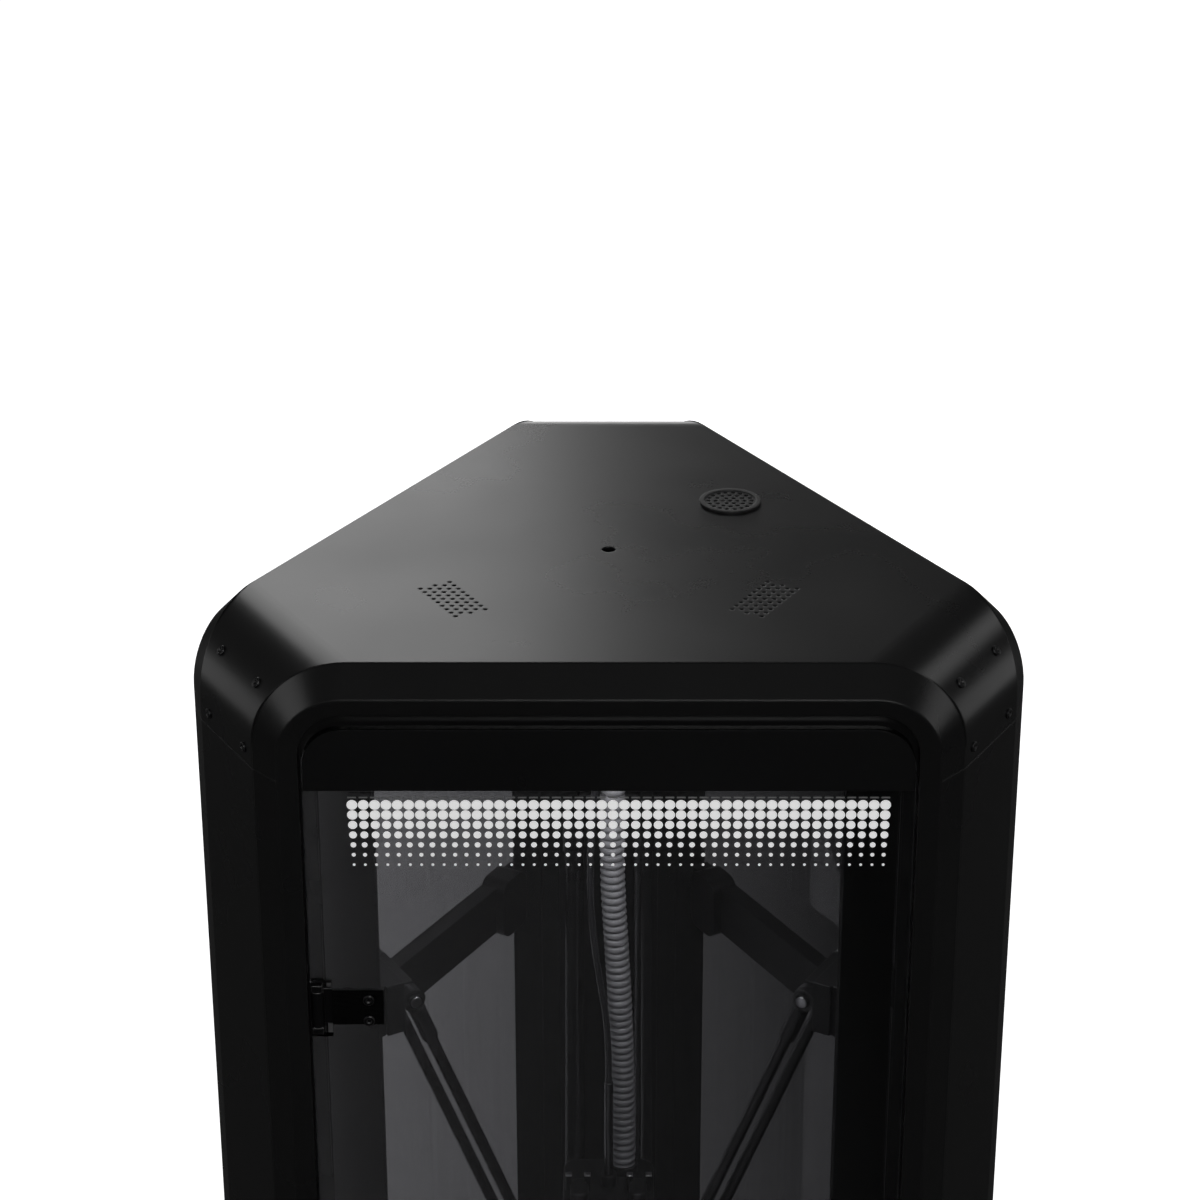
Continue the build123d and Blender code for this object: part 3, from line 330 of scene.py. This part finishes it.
# tinted glass with faint smudges: light falls straight through it, what is seen through it is bent
def makeGlass(name):
    tint = glassLook["tint"]
    material = bpy.data.materials.new(name)
    material.use_nodes = True
    tree = material.node_tree
    shader = tree.nodes["Principled BSDF"]
    shader.inputs["Transmission Weight"].default_value = 1.0
    shader.inputs["IOR"].default_value = glassLook["bending"]
    place = tree.nodes.new("ShaderNodeTexCoord")
    smudge = addNode(tree, "ShaderNodeTexNoise", Scale=glassLook["smudgeScale"], Detail=5.0, Roughness=0.6)
    wire(tree, place.outputs["Object"], smudge.inputs["Vector"])
    spread = tree.nodes.new("ShaderNodeMapRange")
    spread.inputs["To Min"].default_value = 0.0
    spread.inputs["To Max"].default_value = glassLook["smudge"]
    wire(tree, smudge.outputs["Fac"], spread.inputs["Value"])
    wire(tree, spread.outputs["Result"], shader.inputs["Roughness"])
    shade = tree.nodes.new("ShaderNodeMix")
    shade.data_type = "RGBA"
    shade.inputs["A"].default_value = (*tint, 1)
    shade.inputs["B"].default_value = (*[part * glassLook["cloudier"] for part in tint], 1)
    wire(tree, smudge.outputs["Fac"], shade.inputs["Factor"])
    wire(tree, shade.outputs["Result"], shader.inputs["Base Color"])
    clear = tree.nodes.new("ShaderNodeBsdfTransparent")
    clear.inputs["Color"].default_value = (*tint, 1)
    rays = tree.nodes.new("ShaderNodeLightPath")
    mix = tree.nodes.new("ShaderNodeMixShader")
    wire(tree, rays.outputs["Is Shadow Ray"], mix.inputs[0])
    wire(tree, shader.outputs["BSDF"], mix.inputs[1])
    wire(tree, clear.outputs["BSDF"], mix.inputs[2])
    wire(tree, mix.outputs["Shader"], tree.nodes["Material Output"].inputs["Surface"])
    return material


materials["tinted_glass"] = makeGlass("tinted_glass")
for item in frame["record"]["subparts"]:
    node = frame["nodes"][item["node"]]
    node.data.materials.clear()
    node.data.materials.append(materials[item["material_slot"]])
print("finishes on the CAD nodes")


# modelling helpers
def freshStart():
    if bpy.context.object and bpy.context.object.mode != "OBJECT":
        bpy.ops.object.mode_set(mode="OBJECT")
    bpy.ops.object.select_all(action="DESELECT")


def activate(piece):
    freshStart()
    piece.select_set(True)
    bpy.context.view_layer.objects.active = piece


def pickFaces(piece, wanted):
    bpy.ops.object.mode_set(mode="EDIT")
    bpy.ops.mesh.select_all(action="DESELECT")
    bpy.ops.object.mode_set(mode="OBJECT")
    for face in piece.data.polygons:
        face.select = wanted(face)
    bpy.ops.object.mode_set(mode="EDIT")


def settle(piece, name, body, finish, replaced=(), smooth=35):
    activate(piece)
    bpy.ops.object.transform_apply(location=True, rotation=True, scale=True)
    if smooth:
        bpy.ops.object.shade_smooth_by_angle(angle=math.radians(smooth))
    piece.name = name
    piece.data.name = name
    piece.data.materials.clear()
    piece.data.materials.append(materials[finish])
    if body:
        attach(piece, body)
    if replaced:
        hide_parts(*replaced)


def joinAll(items):
    freshStart()
    for item in items:
        item.select_set(True)
    bpy.context.view_layer.objects.active = items[0]
    bpy.ops.object.join()
    return bpy.context.view_layer.objects.active


def copyTo(piece, place):
    twin = piece.copy()
    twin.data = piece.data.copy()
    bpy.context.scene.collection.objects.link(twin)
    twin.matrix_world = place
    return twin


# softens the edges that turn by more than this angle
def bevelEdges(piece, width, angle):
    activate(piece)
    bevel = piece.modifiers.new("softEdges", "BEVEL")
    bevel.width = width
    bevel.segments = 2
    bevel.limit_method = "ANGLE"
    bevel.angle_limit = math.radians(angle)
    bpy.ops.object.modifier_apply(modifier=bevel.name)


# the camera, before the door and above the cap, looking down
camera = {"back": 1.6558, "rise": 0.7815, "pitch": 24.39, "lens": 96.216, "shiftX": -0.00725}
cameraData = bpy.data.cameras.new("camera")
cameraObject = bpy.data.objects.new("camera", cameraData)
bpy.context.scene.collection.objects.link(cameraObject)
cameraObject.location = (0, axisY - camera["back"], seamZ + camera["rise"])
cameraObject.rotation_euler = (math.radians(90 - camera["pitch"]), 0, 0)
cameraData.lens = camera["lens"]
cameraData.sensor_width = 36
cameraData.shift_x = camera["shiftX"]
cameraData.clip_start = 0.01
cameraData.clip_end = 60
bpy.context.scene.camera = cameraObject


def areaLight(name, place, target, size, power):
    data = bpy.data.lights.new(name, "AREA")
    data.shape = "RECTANGLE"
    data.size, data.size_y = size
    data.energy = power
    light = bpy.data.objects.new(name, data)
    bpy.context.scene.collection.objects.link(light)
    light.location = place
    light.rotation_euler = (Vector(target) - Vector(place)).to_track_quat("-Z", "Y").to_euler()


# each light's place, the point it looks at, its size and its power in watts
lights = {
    "softRear": ((-0.74, 2.8, 2.2), (-0.1, 0, 0.84), (1.35, 1.4), 12),
    "stripLeft": ((-2.6, -0.8, 2.1), (0, 0, 0.75), (1.1, 1.5), 6),
    "fillFront": ((0.5, -2.9, 2.4), (0, 0, 0.6), (1.6, 1.0), 24),
    "rearRight": ((2.2, 1.5, 2.25), (0, 0, 0.8), (0.8, 0.8), 2),
    "stripRight": ((2.6, -0.5, 1.6), (0, 0, 0.7), (0.5, 1.5), 3),
    "backLow": ((0.0, 3.2, 0.75), (0, 0, 0.45), (2.4, 1.0), 12),
    "sideLowLeft": ((-2.7, 1.6, 0.55), (0, 0, 0.35), (0.9, 0.9), 2.5),
    "sideLowRight": ((2.7, 1.6, 0.55), (0, 0, 0.35), (0.9, 0.9), 2.5),
    "chamberLight": ((0.0, axisY - 0.115, 0.786), (0, axisY + 0.02, 0.45), (0.20, 0.02), 0.42),
}
for name, (place, target, size, power) in lights.items():
    areaLight(name, place, target, size, power)


# what each kind of ray gets from the sky and the floor; seen through glass the floor glows with painted
# light that fades from left to right, and in reflections and through glass its colour is a painted dark
studio = {"skyLight": 0.05, "floorLeft": -0.6, "floorRight": 0.25, "paintedLightLeft": 1.5, "paintedLightRight": 0.02,
          "floorColour": (0.9, 0.9, 0.9, 1), "paintedDarkFloor": (0.06, 0.06, 0.06, 1)}

# the sky: white to the camera, dim to everything that the light falls on
world = bpy.data.worlds.new("studio")
world.use_nodes = True
sky = world.node_tree
skyRays = sky.nodes.new("ShaderNodeLightPath")
skyGlow = sky.nodes.new("ShaderNodeMapRange")
skyGlow.inputs["To Min"].default_value = studio["skyLight"]
skyGlow.inputs["To Max"].default_value = 1.0
wire(sky, skyRays.outputs["Is Camera Ray"], skyGlow.inputs["Value"])
sky.nodes["Background"].inputs["Color"].default_value = (1, 1, 1, 1)
wire(sky, skyGlow.outputs["Result"], sky.nodes["Background"].inputs["Strength"])
bpy.context.scene.world = world

# the floor: plain and pale, lifted to white where it is looked at; through glass it glows with painted
# light that fades from left to right, and its colour is painted dark in reflections and through glass
bpy.ops.mesh.primitive_plane_add(size=24, location=(0, 0, 0))
floor = bpy.context.object
floor.name = "floor"
floorLook = bpy.data.materials.new("paleFloor")
floorLook.use_nodes = True
ground = floorLook.node_tree
groundShader = ground.nodes["Principled BSDF"]
groundShader.inputs["Roughness"].default_value = 0.85
groundShader.inputs["Emission Color"].default_value = (1, 1, 1, 1)
groundRays = ground.nodes.new("ShaderNodeLightPath")
groundPlace = ground.nodes.new("ShaderNodeTexCoord")
groundSplit = ground.nodes.new("ShaderNodeSeparateXYZ")
wire(ground, groundPlace.outputs["Object"], groundSplit.inputs[0])
# painted light: seen through glass the floor glows, bright on the left and fading to almost nothing on the
# right
paintedLightFade = ground.nodes.new("ShaderNodeMapRange")
paintedLightFade.inputs["From Min"].default_value = studio["floorLeft"]
paintedLightFade.inputs["From Max"].default_value = studio["floorRight"]
paintedLightFade.inputs["To Min"].default_value = studio["paintedLightLeft"]
paintedLightFade.inputs["To Max"].default_value = studio["paintedLightRight"]
wire(ground, groundSplit.outputs["X"], paintedLightFade.inputs["Value"])
through = math2(ground, "MULTIPLY", groundRays.outputs["Is Transmission Ray"], paintedLightFade.outputs["Result"])
seen = math2(ground, "ADD", groundRays.outputs["Is Camera Ray"], through)
wire(ground, seen, groundShader.inputs["Emission Strength"])
# painted shade: reflected rays and rays through glass see the floor in a painted dark colour, not its pale
# one
pale = ground.nodes.new("ShaderNodeMix")
pale.data_type = "RGBA"
pale.inputs["A"].default_value = studio["floorColour"]
pale.inputs["B"].default_value = studio["paintedDarkFloor"]
glossy, transmitted = groundRays.outputs["Is Glossy Ray"], groundRays.outputs["Is Transmission Ray"]
paintedDarkRays = math2(ground, "MAXIMUM", glossy, transmitted)
wire(ground, paintedDarkRays, pale.inputs["Factor"])
wire(ground, pale.outputs["Result"], groundShader.inputs["Base Color"])
floor.data.materials.append(floorLook)
bpy.context.scene.view_settings.view_transform = "Standard"
print("camera and light")


# hose and filament tube, on the same points as the CAD ones
def hangingCurve(name, points, thickness, resolution):
    data = bpy.data.curves.new(name, "CURVE")
    data.dimensions = "3D"
    spline = data.splines.new("NURBS")
    spline.points.add(len(points) - 1)
    for point, place in zip(spline.points, points):
        point.co = (*place, 1)
    spline.order_u = 3
    spline.use_endpoint_u = True
    data.resolution_u = resolution
    data.bevel_depth = thickness
    data.bevel_resolution = 6
    data.use_fill_caps = True
    curve = bpy.data.objects.new(name, data)
    bpy.context.scene.collection.objects.link(curve)
    return curve


def linePoints(curve):
    line = bpy.data.meshes.new_from_object(curve)
    points = [vertex.co.copy() for vertex in line.vertices]
    bpy.data.meshes.remove(line)
    return points


def lengthOf(points):
    return sum((after - before).length for before, after in zip(points, points[1:]))


# points every step along a line
def evenly(points, step):
    result = [points[0]]
    left = step
    for before, after in zip(points, points[1:]):
        run = (after - before).length
        start = 0.0
        while run - start >= left:
            start += left
            result.append(before.lerp(after, start / run))
            left = step
        left -= run - start
    return result


hose = {"route": [(0.004, 0.012, 0.797), (0.004, 0.012, 0.735), (0.001, 0.008, 0.640),
                  (0.007, 0.011, 0.540), (0.009, 0.014, 0.470), (0.009, 0.014, 0.416)],
        "radius": 0.0075, "groove": 0.0021, "crest": 0.55, "pitch": 0.0048, "around": 28, "rings": 8,
        "resolution": 24}
hoseRoute = [(x, y + axisY, z) for x, y, z in hose["route"]]
hoseLine = hangingCurve("hoseLine", hoseRoute, 0.0, hose["resolution"])
hosePoints = evenly(linePoints(hoseLine), hose["pitch"] / hose["rings"])
hoseLength = lengthOf(linePoints(hoseLine))
bpy.data.objects.remove(hoseLine)
hoseRings = []
around = hose["around"]
for index, place in enumerate(hosePoints):
    ahead = hosePoints[min(index + 1, len(hosePoints) - 1)] - hosePoints[max(index - 1, 0)]
    turn = Vector((0, 0, -1)).rotation_difference(ahead.normalized())
    wave = abs(math.sin(math.pi * index / hose["rings"])) ** hose["crest"]
    radius = hose["radius"] - hose["groove"] * (1 - wave)
    for step in range(around):
        angle = 2 * math.pi * step / around
        hoseRings.append(place + turn @ Vector((radius * math.cos(angle), -radius * math.sin(angle), 0)))
hoseFaces = []
for ring in range(len(hosePoints) - 1):
    lower, upper = ring * around, (ring + 1) * around
    for step in range(around):
        beside = (step + 1) % around
        hoseFaces.append((lower + step, lower + beside, upper + beside, upper + step))
last = (len(hosePoints) - 1) * around
hoseFaces += [tuple(reversed(range(around))), tuple(range(last, last + around))]
hoseMesh = bpy.data.meshes.new("corrugatedHose")
hoseMesh.from_pydata(hoseRings, [], hoseFaces)
hosePiece = bpy.data.objects.new("corrugatedHose", hoseMesh)
bpy.context.scene.collection.objects.link(hosePiece)
activate(hosePiece)
bpy.ops.object.mode_set(mode="EDIT")
bpy.ops.mesh.select_all(action="SELECT")
bpy.ops.mesh.normals_make_consistent(inside=False)
bpy.ops.object.mode_set(mode="OBJECT")
settle(hosePiece, "corrugatedHose", None, "hose_plastic", replaced=["air_hose"], smooth=60)
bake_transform(hosePiece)

tube = {"route": [(0, 0, 0.828), (0, 0, 0.782), (-0.004, -0.001, 0.728), (-0.010, -0.003, 0.672),
                  (-0.0115, -0.004, 0.615), (-0.006, -0.0035, 0.565), (0, -0.002, 0.528),
                  (0, -0.002, 0.490)],
        "radius": 0.002, "resolution": 16}
tubeRoute = [(x, y + axisY, z) for x, y, z in tube["route"]]
tubeLine = hangingCurve("tubeLine", tubeRoute, 0.0, tube["resolution"])
tubePoints = linePoints(tubeLine)
bpy.data.objects.remove(tubeLine)
tubeCurve = hangingCurve("filamentTube", tubeRoute, tube["radius"], tube["resolution"])
activate(tubeCurve)
bpy.ops.object.convert(target="MESH")
tubePiece = bpy.context.object
settle(tubePiece, "filamentTube", None, "tube_plastic", replaced=["filament_tube"], smooth=60)
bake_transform(tubePiece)


# printing on the front of the door's glass
doorLow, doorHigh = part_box("door_glass")
printing = {"bandTop": doorHigh.z - 0.0006, "bandLow": seamZ - 0.0086, "edge": 0.0007, "corner": 0.0215,
            "thick": 0.00012, "gap": 0.00005, "pitch": 0.006, "columns": 48, "firstX": -0.1357,
            "firstZ": seamZ - 0.0169, "sizes": [0.0058, 0.0056, 0.0049, 0.0042, 0.0031, 0.0022, 0.0015],
            "dash": (0.0046, 0.0009), "dashSoft": 0.00003, "dashZ": seamZ - 0.0125}
printY = doorLow.y - printing["gap"]
inkY = printY - printing["thick"] / 2

# the dark band: a plate with the glass's own upper corners, on the front of the glass
bandWidth = doorHigh.x - doorLow.x - 2 * printing["edge"]
bandTall = printing["bandTop"] - printing["bandLow"]
bandMiddle = ((doorLow.x + doorHigh.x) / 2, printY, (printing["bandTop"] + printing["bandLow"]) / 2)
freshStart()
bpy.ops.mesh.primitive_plane_add(size=1, location=(0, 0, 0))
band = bpy.context.object
band.scale = (bandWidth, bandTall, 1)
bpy.ops.object.transform_apply(location=False, rotation=False, scale=True)
bpy.ops.object.mode_set(mode="EDIT")
bpy.ops.mesh.select_all(action="DESELECT")
bpy.ops.object.mode_set(mode="OBJECT")
for vertex in band.data.vertices:
    vertex.select = vertex.co.y > 0
bpy.ops.object.mode_set(mode="EDIT")
bpy.ops.mesh.bevel(offset=printing["corner"], segments=10, affect="VERTICES")
bpy.ops.mesh.select_all(action="SELECT")
bpy.ops.mesh.extrude_region_move(TRANSFORM_OT_translate={"value": (0, 0, printing["thick"])})
bpy.ops.mesh.select_all(action="SELECT")
bpy.ops.mesh.normals_make_consistent(inside=False)
bpy.ops.object.mode_set(mode="OBJECT")
band.matrix_world = Matrix.Translation(bandMiddle) @ Matrix.Rotation(math.radians(90), 4, "X")
settle(band, "doorBand", "door", "printed_black", smooth=0)

# rows of pale dots that shrink downwards
printed = []
for row, size in enumerate(printing["sizes"]):
    freshStart()
    rowZ = printing["firstZ"] - row * printing["pitch"]
    bpy.ops.mesh.primitive_cylinder_add(vertices=20, radius=size / 2, depth=printing["thick"],
                                        location=(printing["firstX"], inkY, rowZ),
                                        rotation=(math.radians(90), 0, 0))
    dot = bpy.context.object
    bpy.ops.object.transform_apply(location=True, rotation=True, scale=True)
    line = dot.modifiers.new("row", "ARRAY")
    line.count = printing["columns"]
    line.use_relative_offset = False
    line.use_constant_offset = True
    line.constant_offset_displace = (printing["pitch"], 0, 0)
    bpy.ops.object.modifier_apply(modifier=line.name)
    printed.append(dot)
settle(joinAll(printed), "doorDots", "door", "printed_white", smooth=0)
print("door printing")


# the cap's button-head screws, two on each bend and two above each seam
towerTurns = {"rear": 0, "left": 120, "right": -120}
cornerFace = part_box("column_rear")[1].y - axisY


# a frame on a tower: x along its face, y outwards, z up
def towerPlace(turn, x, y, z):
    centre = Matrix.Translation((0, axisY, 0)) @ Matrix.Rotation(math.radians(turn), 4, "Z")
    return centre @ Matrix.Translation((x, y, z))


screw = {"radius": 0.0029, "rise": 0.0016, "crown": 0.0002, "rim": 0.0006, "lip": 0.00005, "soft": 0.00025,
         "socket": 0.0015, "socketDepth": 0.0010, "half": 0.0229, "lift": 37.0, "bend": 0.0465,
         "aboveSeam": 0.008}
freshStart()
bpy.ops.mesh.primitive_cylinder_add(vertices=36, radius=screw["radius"], depth=screw["rise"],
                                    location=(0, 0, screw["rise"] / 2))
screwHead = bpy.context.object
pickFaces(screwHead, lambda face: face.normal.z > 0.9)
bpy.ops.mesh.inset(thickness=screw["radius"] - screw["socket"] - screw["rim"])
bpy.ops.transform.translate(value=(0, 0, screw["crown"]))
bpy.ops.mesh.inset(thickness=screw["rim"])
bpy.ops.mesh.inset(thickness=screw["lip"])
bpy.ops.mesh.extrude_region_move(TRANSFORM_OT_translate={"value": (0, 0, -screw["socketDepth"])})
bpy.ops.object.mode_set(mode="OBJECT")
bevelEdges(screwHead, screw["soft"], 40)
screwHeads = []
bendY, bendZ = cornerFace - screw["bend"], topZ - screw["bend"]
lift = math.radians(screw["lift"])
for turn in towerTurns.values():
    for side in (-1, 1):
        onBend = (bendY + screw["bend"] * math.cos(lift), bendZ + screw["bend"] * math.sin(lift), lift)
        onFace = (cornerFace, seamZ + screw["aboveSeam"], 0.0)
        for y, z, tilt in (onBend, onFace):
            upright = Matrix.Rotation(tilt - math.pi / 2, 4, "X")
            screwHeads.append(copyTo(screwHead, towerPlace(turn, side * screw["half"], y, z) @ upright))
capScrews = joinAll(screwHeads)
bpy.data.objects.remove(screwHead)
settle(capScrews, "capScrews", "enclosure", "black_steel", replaced=["cap_screws"])
print("cap screws")


# a round boss along Z with softened rims
def boss(place, radius, depth, soft, sides):
    freshStart()
    bpy.ops.mesh.primitive_cylinder_add(vertices=sides, radius=radius, depth=depth, location=(0, 0, 0))
    piece = bpy.context.object
    bevelEdges(piece, soft, 40)
    piece.matrix_world = place
    return piece


# a bar of this size at the origin with softened edges
def bar(size, soft):
    freshStart()
    bpy.ops.mesh.primitive_cube_add(size=1, location=(0, 0, 0))
    piece = bpy.context.object
    piece.scale = size
    bpy.ops.object.transform_apply(location=False, rotation=False, scale=True)
    bevelEdges(piece, soft, 60)
    return piece


# a socket-head screw lying along +Z, its head's face at the origin
def socketScrew(radius, height, socket):
    freshStart()
    bpy.ops.mesh.primitive_cylinder_add(vertices=30, radius=radius, depth=height,
                                        location=(0, 0, -height / 2))
    piece = bpy.context.object
    lip, sink, soft = socket * 0.08, height * 0.6, radius * 0.12
    pickFaces(piece, lambda face: face.normal.z > 0.9)
    bpy.ops.mesh.inset(thickness=radius - socket)
    bpy.ops.mesh.inset(thickness=lip)
    bpy.ops.mesh.extrude_region_move(TRANSFORM_OT_translate={"value": (0, 0, -sink)})
    bpy.ops.object.mode_set(mode="OBJECT")
    bevelEdges(piece, soft, 40)
    return piece


# copies of one piece at each place, joined, and the pattern removed
def scatter(pattern, places):
    copies = [copyTo(pattern, place) for place in places]
    bpy.data.objects.remove(pattern)
    return joinAll(copies)


quarterX = Matrix.Rotation(math.radians(90), 4, "X")
quarterY = Matrix.Rotation(math.radians(90), 4, "Y")

# the towers' covers: rows of screws, and a pair of brass contact strips under the ceiling
cover = {"face": 0.180, "screwX": 0.0252, "radius": 0.0019, "height": 0.0016, "socket": 0.0010,
         "top": 0.1215, "step": 0.155, "rows": 4, "stripX": 0.0200, "stripY": 0.1796,
         "stripSize": (0.0012, 0.0006, 0.026), "stripSoft": 0.0002, "stripDrop": 0.030}
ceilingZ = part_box("ceiling_panel")[0].z
coverScrew = socketScrew(cover["radius"], cover["height"], cover["socket"])
coverPlaces = []
stripPlaces = []
for turn in towerTurns.values():
    for side in (-1, 1):
        for row in range(cover["rows"]):
            height = ceilingZ - cover["top"] - row * cover["step"]
            place = towerPlace(turn, side * cover["screwX"], cover["face"] - cover["height"], height)
            coverPlaces.append(place @ quarterX)
        under = ceilingZ - cover["stripDrop"]
        stripPlaces.append(towerPlace(turn, side * cover["stripX"], cover["stripY"], under))
settle(scatter(coverScrew, coverPlaces), "coverScrews", "enclosure", "pulley_metal")
contactStrip = bar(cover["stripSize"], cover["stripSoft"])
settle(scatter(contactStrip, stripPlaces), "contactStrips", "enclosure", "brass")

# slim edge rails beside each guide rod, with a bright narrow edge
edgeRail = {"x": 0.0262, "y": 0.1784, "foot": 0.112, "size": (0.0016, 0.0030, 0.684), "soft": 0.0003}
railMiddle = (ceilingZ + edgeRail["foot"]) / 2
railPlaces = []
for turn in towerTurns.values():
    for side in (-1, 1):
        railPlaces.append(towerPlace(turn, side * edgeRail["x"], edgeRail["y"], railMiddle))
railPiece = bar(edgeRail["size"], edgeRail["soft"])
settle(scatter(railPiece, railPlaces), "edgeRails", "enclosure", "bare_metal")
print("tower details")

# the door hinges' screws, seen from the front through the glass, with recessed sockets
hinge = {"reach": 0.0315, "heights": (0.240, 0.636), "half": 0.0065, "radius": 0.0030, "height": 0.0014,
         "socket": 0.0014, "proud": 0.8}
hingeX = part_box("hinge_leaves")[0].x + hinge["reach"]
hingeY = doorLow.y - hinge["height"] * hinge["proud"]
hingeScrew = socketScrew(hinge["radius"], hinge["height"], hinge["socket"])
hingePlaces = []
for height in hinge["heights"]:
    for end in (-1, 1):
        hingePlaces.append(Matrix.Translation((hingeX, hingeY, height + end * hinge["half"])) @ quarterX)
settle(scatter(hingeScrew, hingePlaces), "hingeScrews", "door", "black_steel")

# a row of short grey dashes between the band and the dots
dashWide, dashTall = printing["dash"]
dash = bar((dashWide, printing["thick"], dashTall), printing["dashSoft"])
dashPlaces = []
for column in range(printing["columns"]):
    x = printing["firstX"] + column * printing["pitch"]
    dashPlaces.append(Matrix.Translation((x, inkY, printing["dashZ"])))
settle(scatter(dash, dashPlaces), "doorDashes", "door", "printed_grey", smooth=0)
print("door details")

# the head: bright caps on its four posts, a collar for the sleeve and a ring round the fan
head = {"posts": (-0.0245, -0.013, 0.013, 0.0245), "postY": -0.008, "capZ": 0.4273,
        "capSize": (0.0040, 0.0040, 0.0010), "capSoft": 0.0003, "collar": 0.0050, "collarTall": 0.008,
        "collarY": -0.002, "collarZ": 0.420, "collarSoft": 0.0006, "ringZ": 0.352, "ringRadius": 0.0173,
        "ringWire": 0.0008, "ringSink": 0.0002}
postCap = bar(head["capSize"], head["capSoft"])
postPlaces = [Matrix.Translation((x, axisY + head["postY"], head["capZ"])) for x in head["posts"]]
settle(scatter(postCap, postPlaces), "postCaps", "print_head", "pulley_metal")
collarPlace = Matrix.Translation((0, axisY + head["collarY"], head["collarZ"]))
collarPiece = boss(collarPlace, head["collar"], head["collarTall"], head["collarSoft"], 30)
settle(collarPiece, "sleeveCollar", "print_head", "dark_plastic")
freshStart()
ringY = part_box("head_housing")[0].y + head["ringSink"]
bpy.ops.mesh.primitive_torus_add(major_radius=head["ringRadius"], minor_radius=head["ringWire"],
                                 major_segments=64, minor_segments=12, location=(0, ringY, head["ringZ"]),
                                 rotation=(math.radians(90), 0, 0))
settle(bpy.context.object, "fanRing", "print_head", "dark_plastic")
print("head details")

# the carriages' arm pins: small caps outside each arm's ring
pin = {"y": 0.143, "reach": 0.0302, "z": 0.605, "radius": 0.0034, "depth": 0.0010, "soft": 0.0003}
for name, turn in towerTurns.items():
    caps = []
    for side in (-1, 1):
        place = towerPlace(turn, side * pin["reach"], pin["y"], pin["z"]) @ quarterY
        caps.append(boss(place, pin["radius"], pin["depth"], pin["soft"], 24))
    settle(joinAll(caps), "pinCaps" + name.capitalize(), "carriage_" + name, "pulley_metal")
print("carriage details")

# teeth along both runs of each belt
belt = {"pitch": 0.002, "tooth": 0.0010, "height": 0.0007, "width": 0.006, "tip": 0.6, "end": 0.008,
        "middle": 0.167, "runHalf": 0.006366, "back": 0.0007, "sink": 0.0001}
for name, turn in towerTurns.items():
    low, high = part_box("belt_" + name)
    count = int((high.z - low.z - 2 * belt["end"]) / belt["pitch"])
    inner = belt["runHalf"] - belt["back"] - belt["height"] / 2 + belt["sink"]
    runs = []
    for side in (-1, 1):
        freshStart()
        bpy.ops.mesh.primitive_cube_add(size=1, location=(0, 0, 0))
        tooth = bpy.context.object
        tooth.scale = (belt["width"], belt["height"], belt["tooth"])
        bpy.ops.object.transform_apply(location=True, rotation=True, scale=True)
        pickFaces(tooth, lambda face, side=side: face.normal.y * side < -0.9)
        bpy.ops.transform.resize(value=(1, 1, belt["tip"]))
        bpy.ops.object.mode_set(mode="OBJECT")
        array = tooth.modifiers.new("teeth", "ARRAY")
        array.count = count
        array.use_relative_offset = False
        array.use_constant_offset = True
        array.constant_offset_displace = (0, 0, belt["pitch"])
        bpy.ops.object.modifier_apply(modifier=array.name)
        tooth.matrix_world = towerPlace(turn, 0, belt["middle"] + side * inner, low.z + belt["end"])
        runs.append(tooth)
    settle(joinAll(runs), "beltTeeth" + name.capitalize(), "enclosure", "belt_rubber", smooth=0)
print("belt teeth")
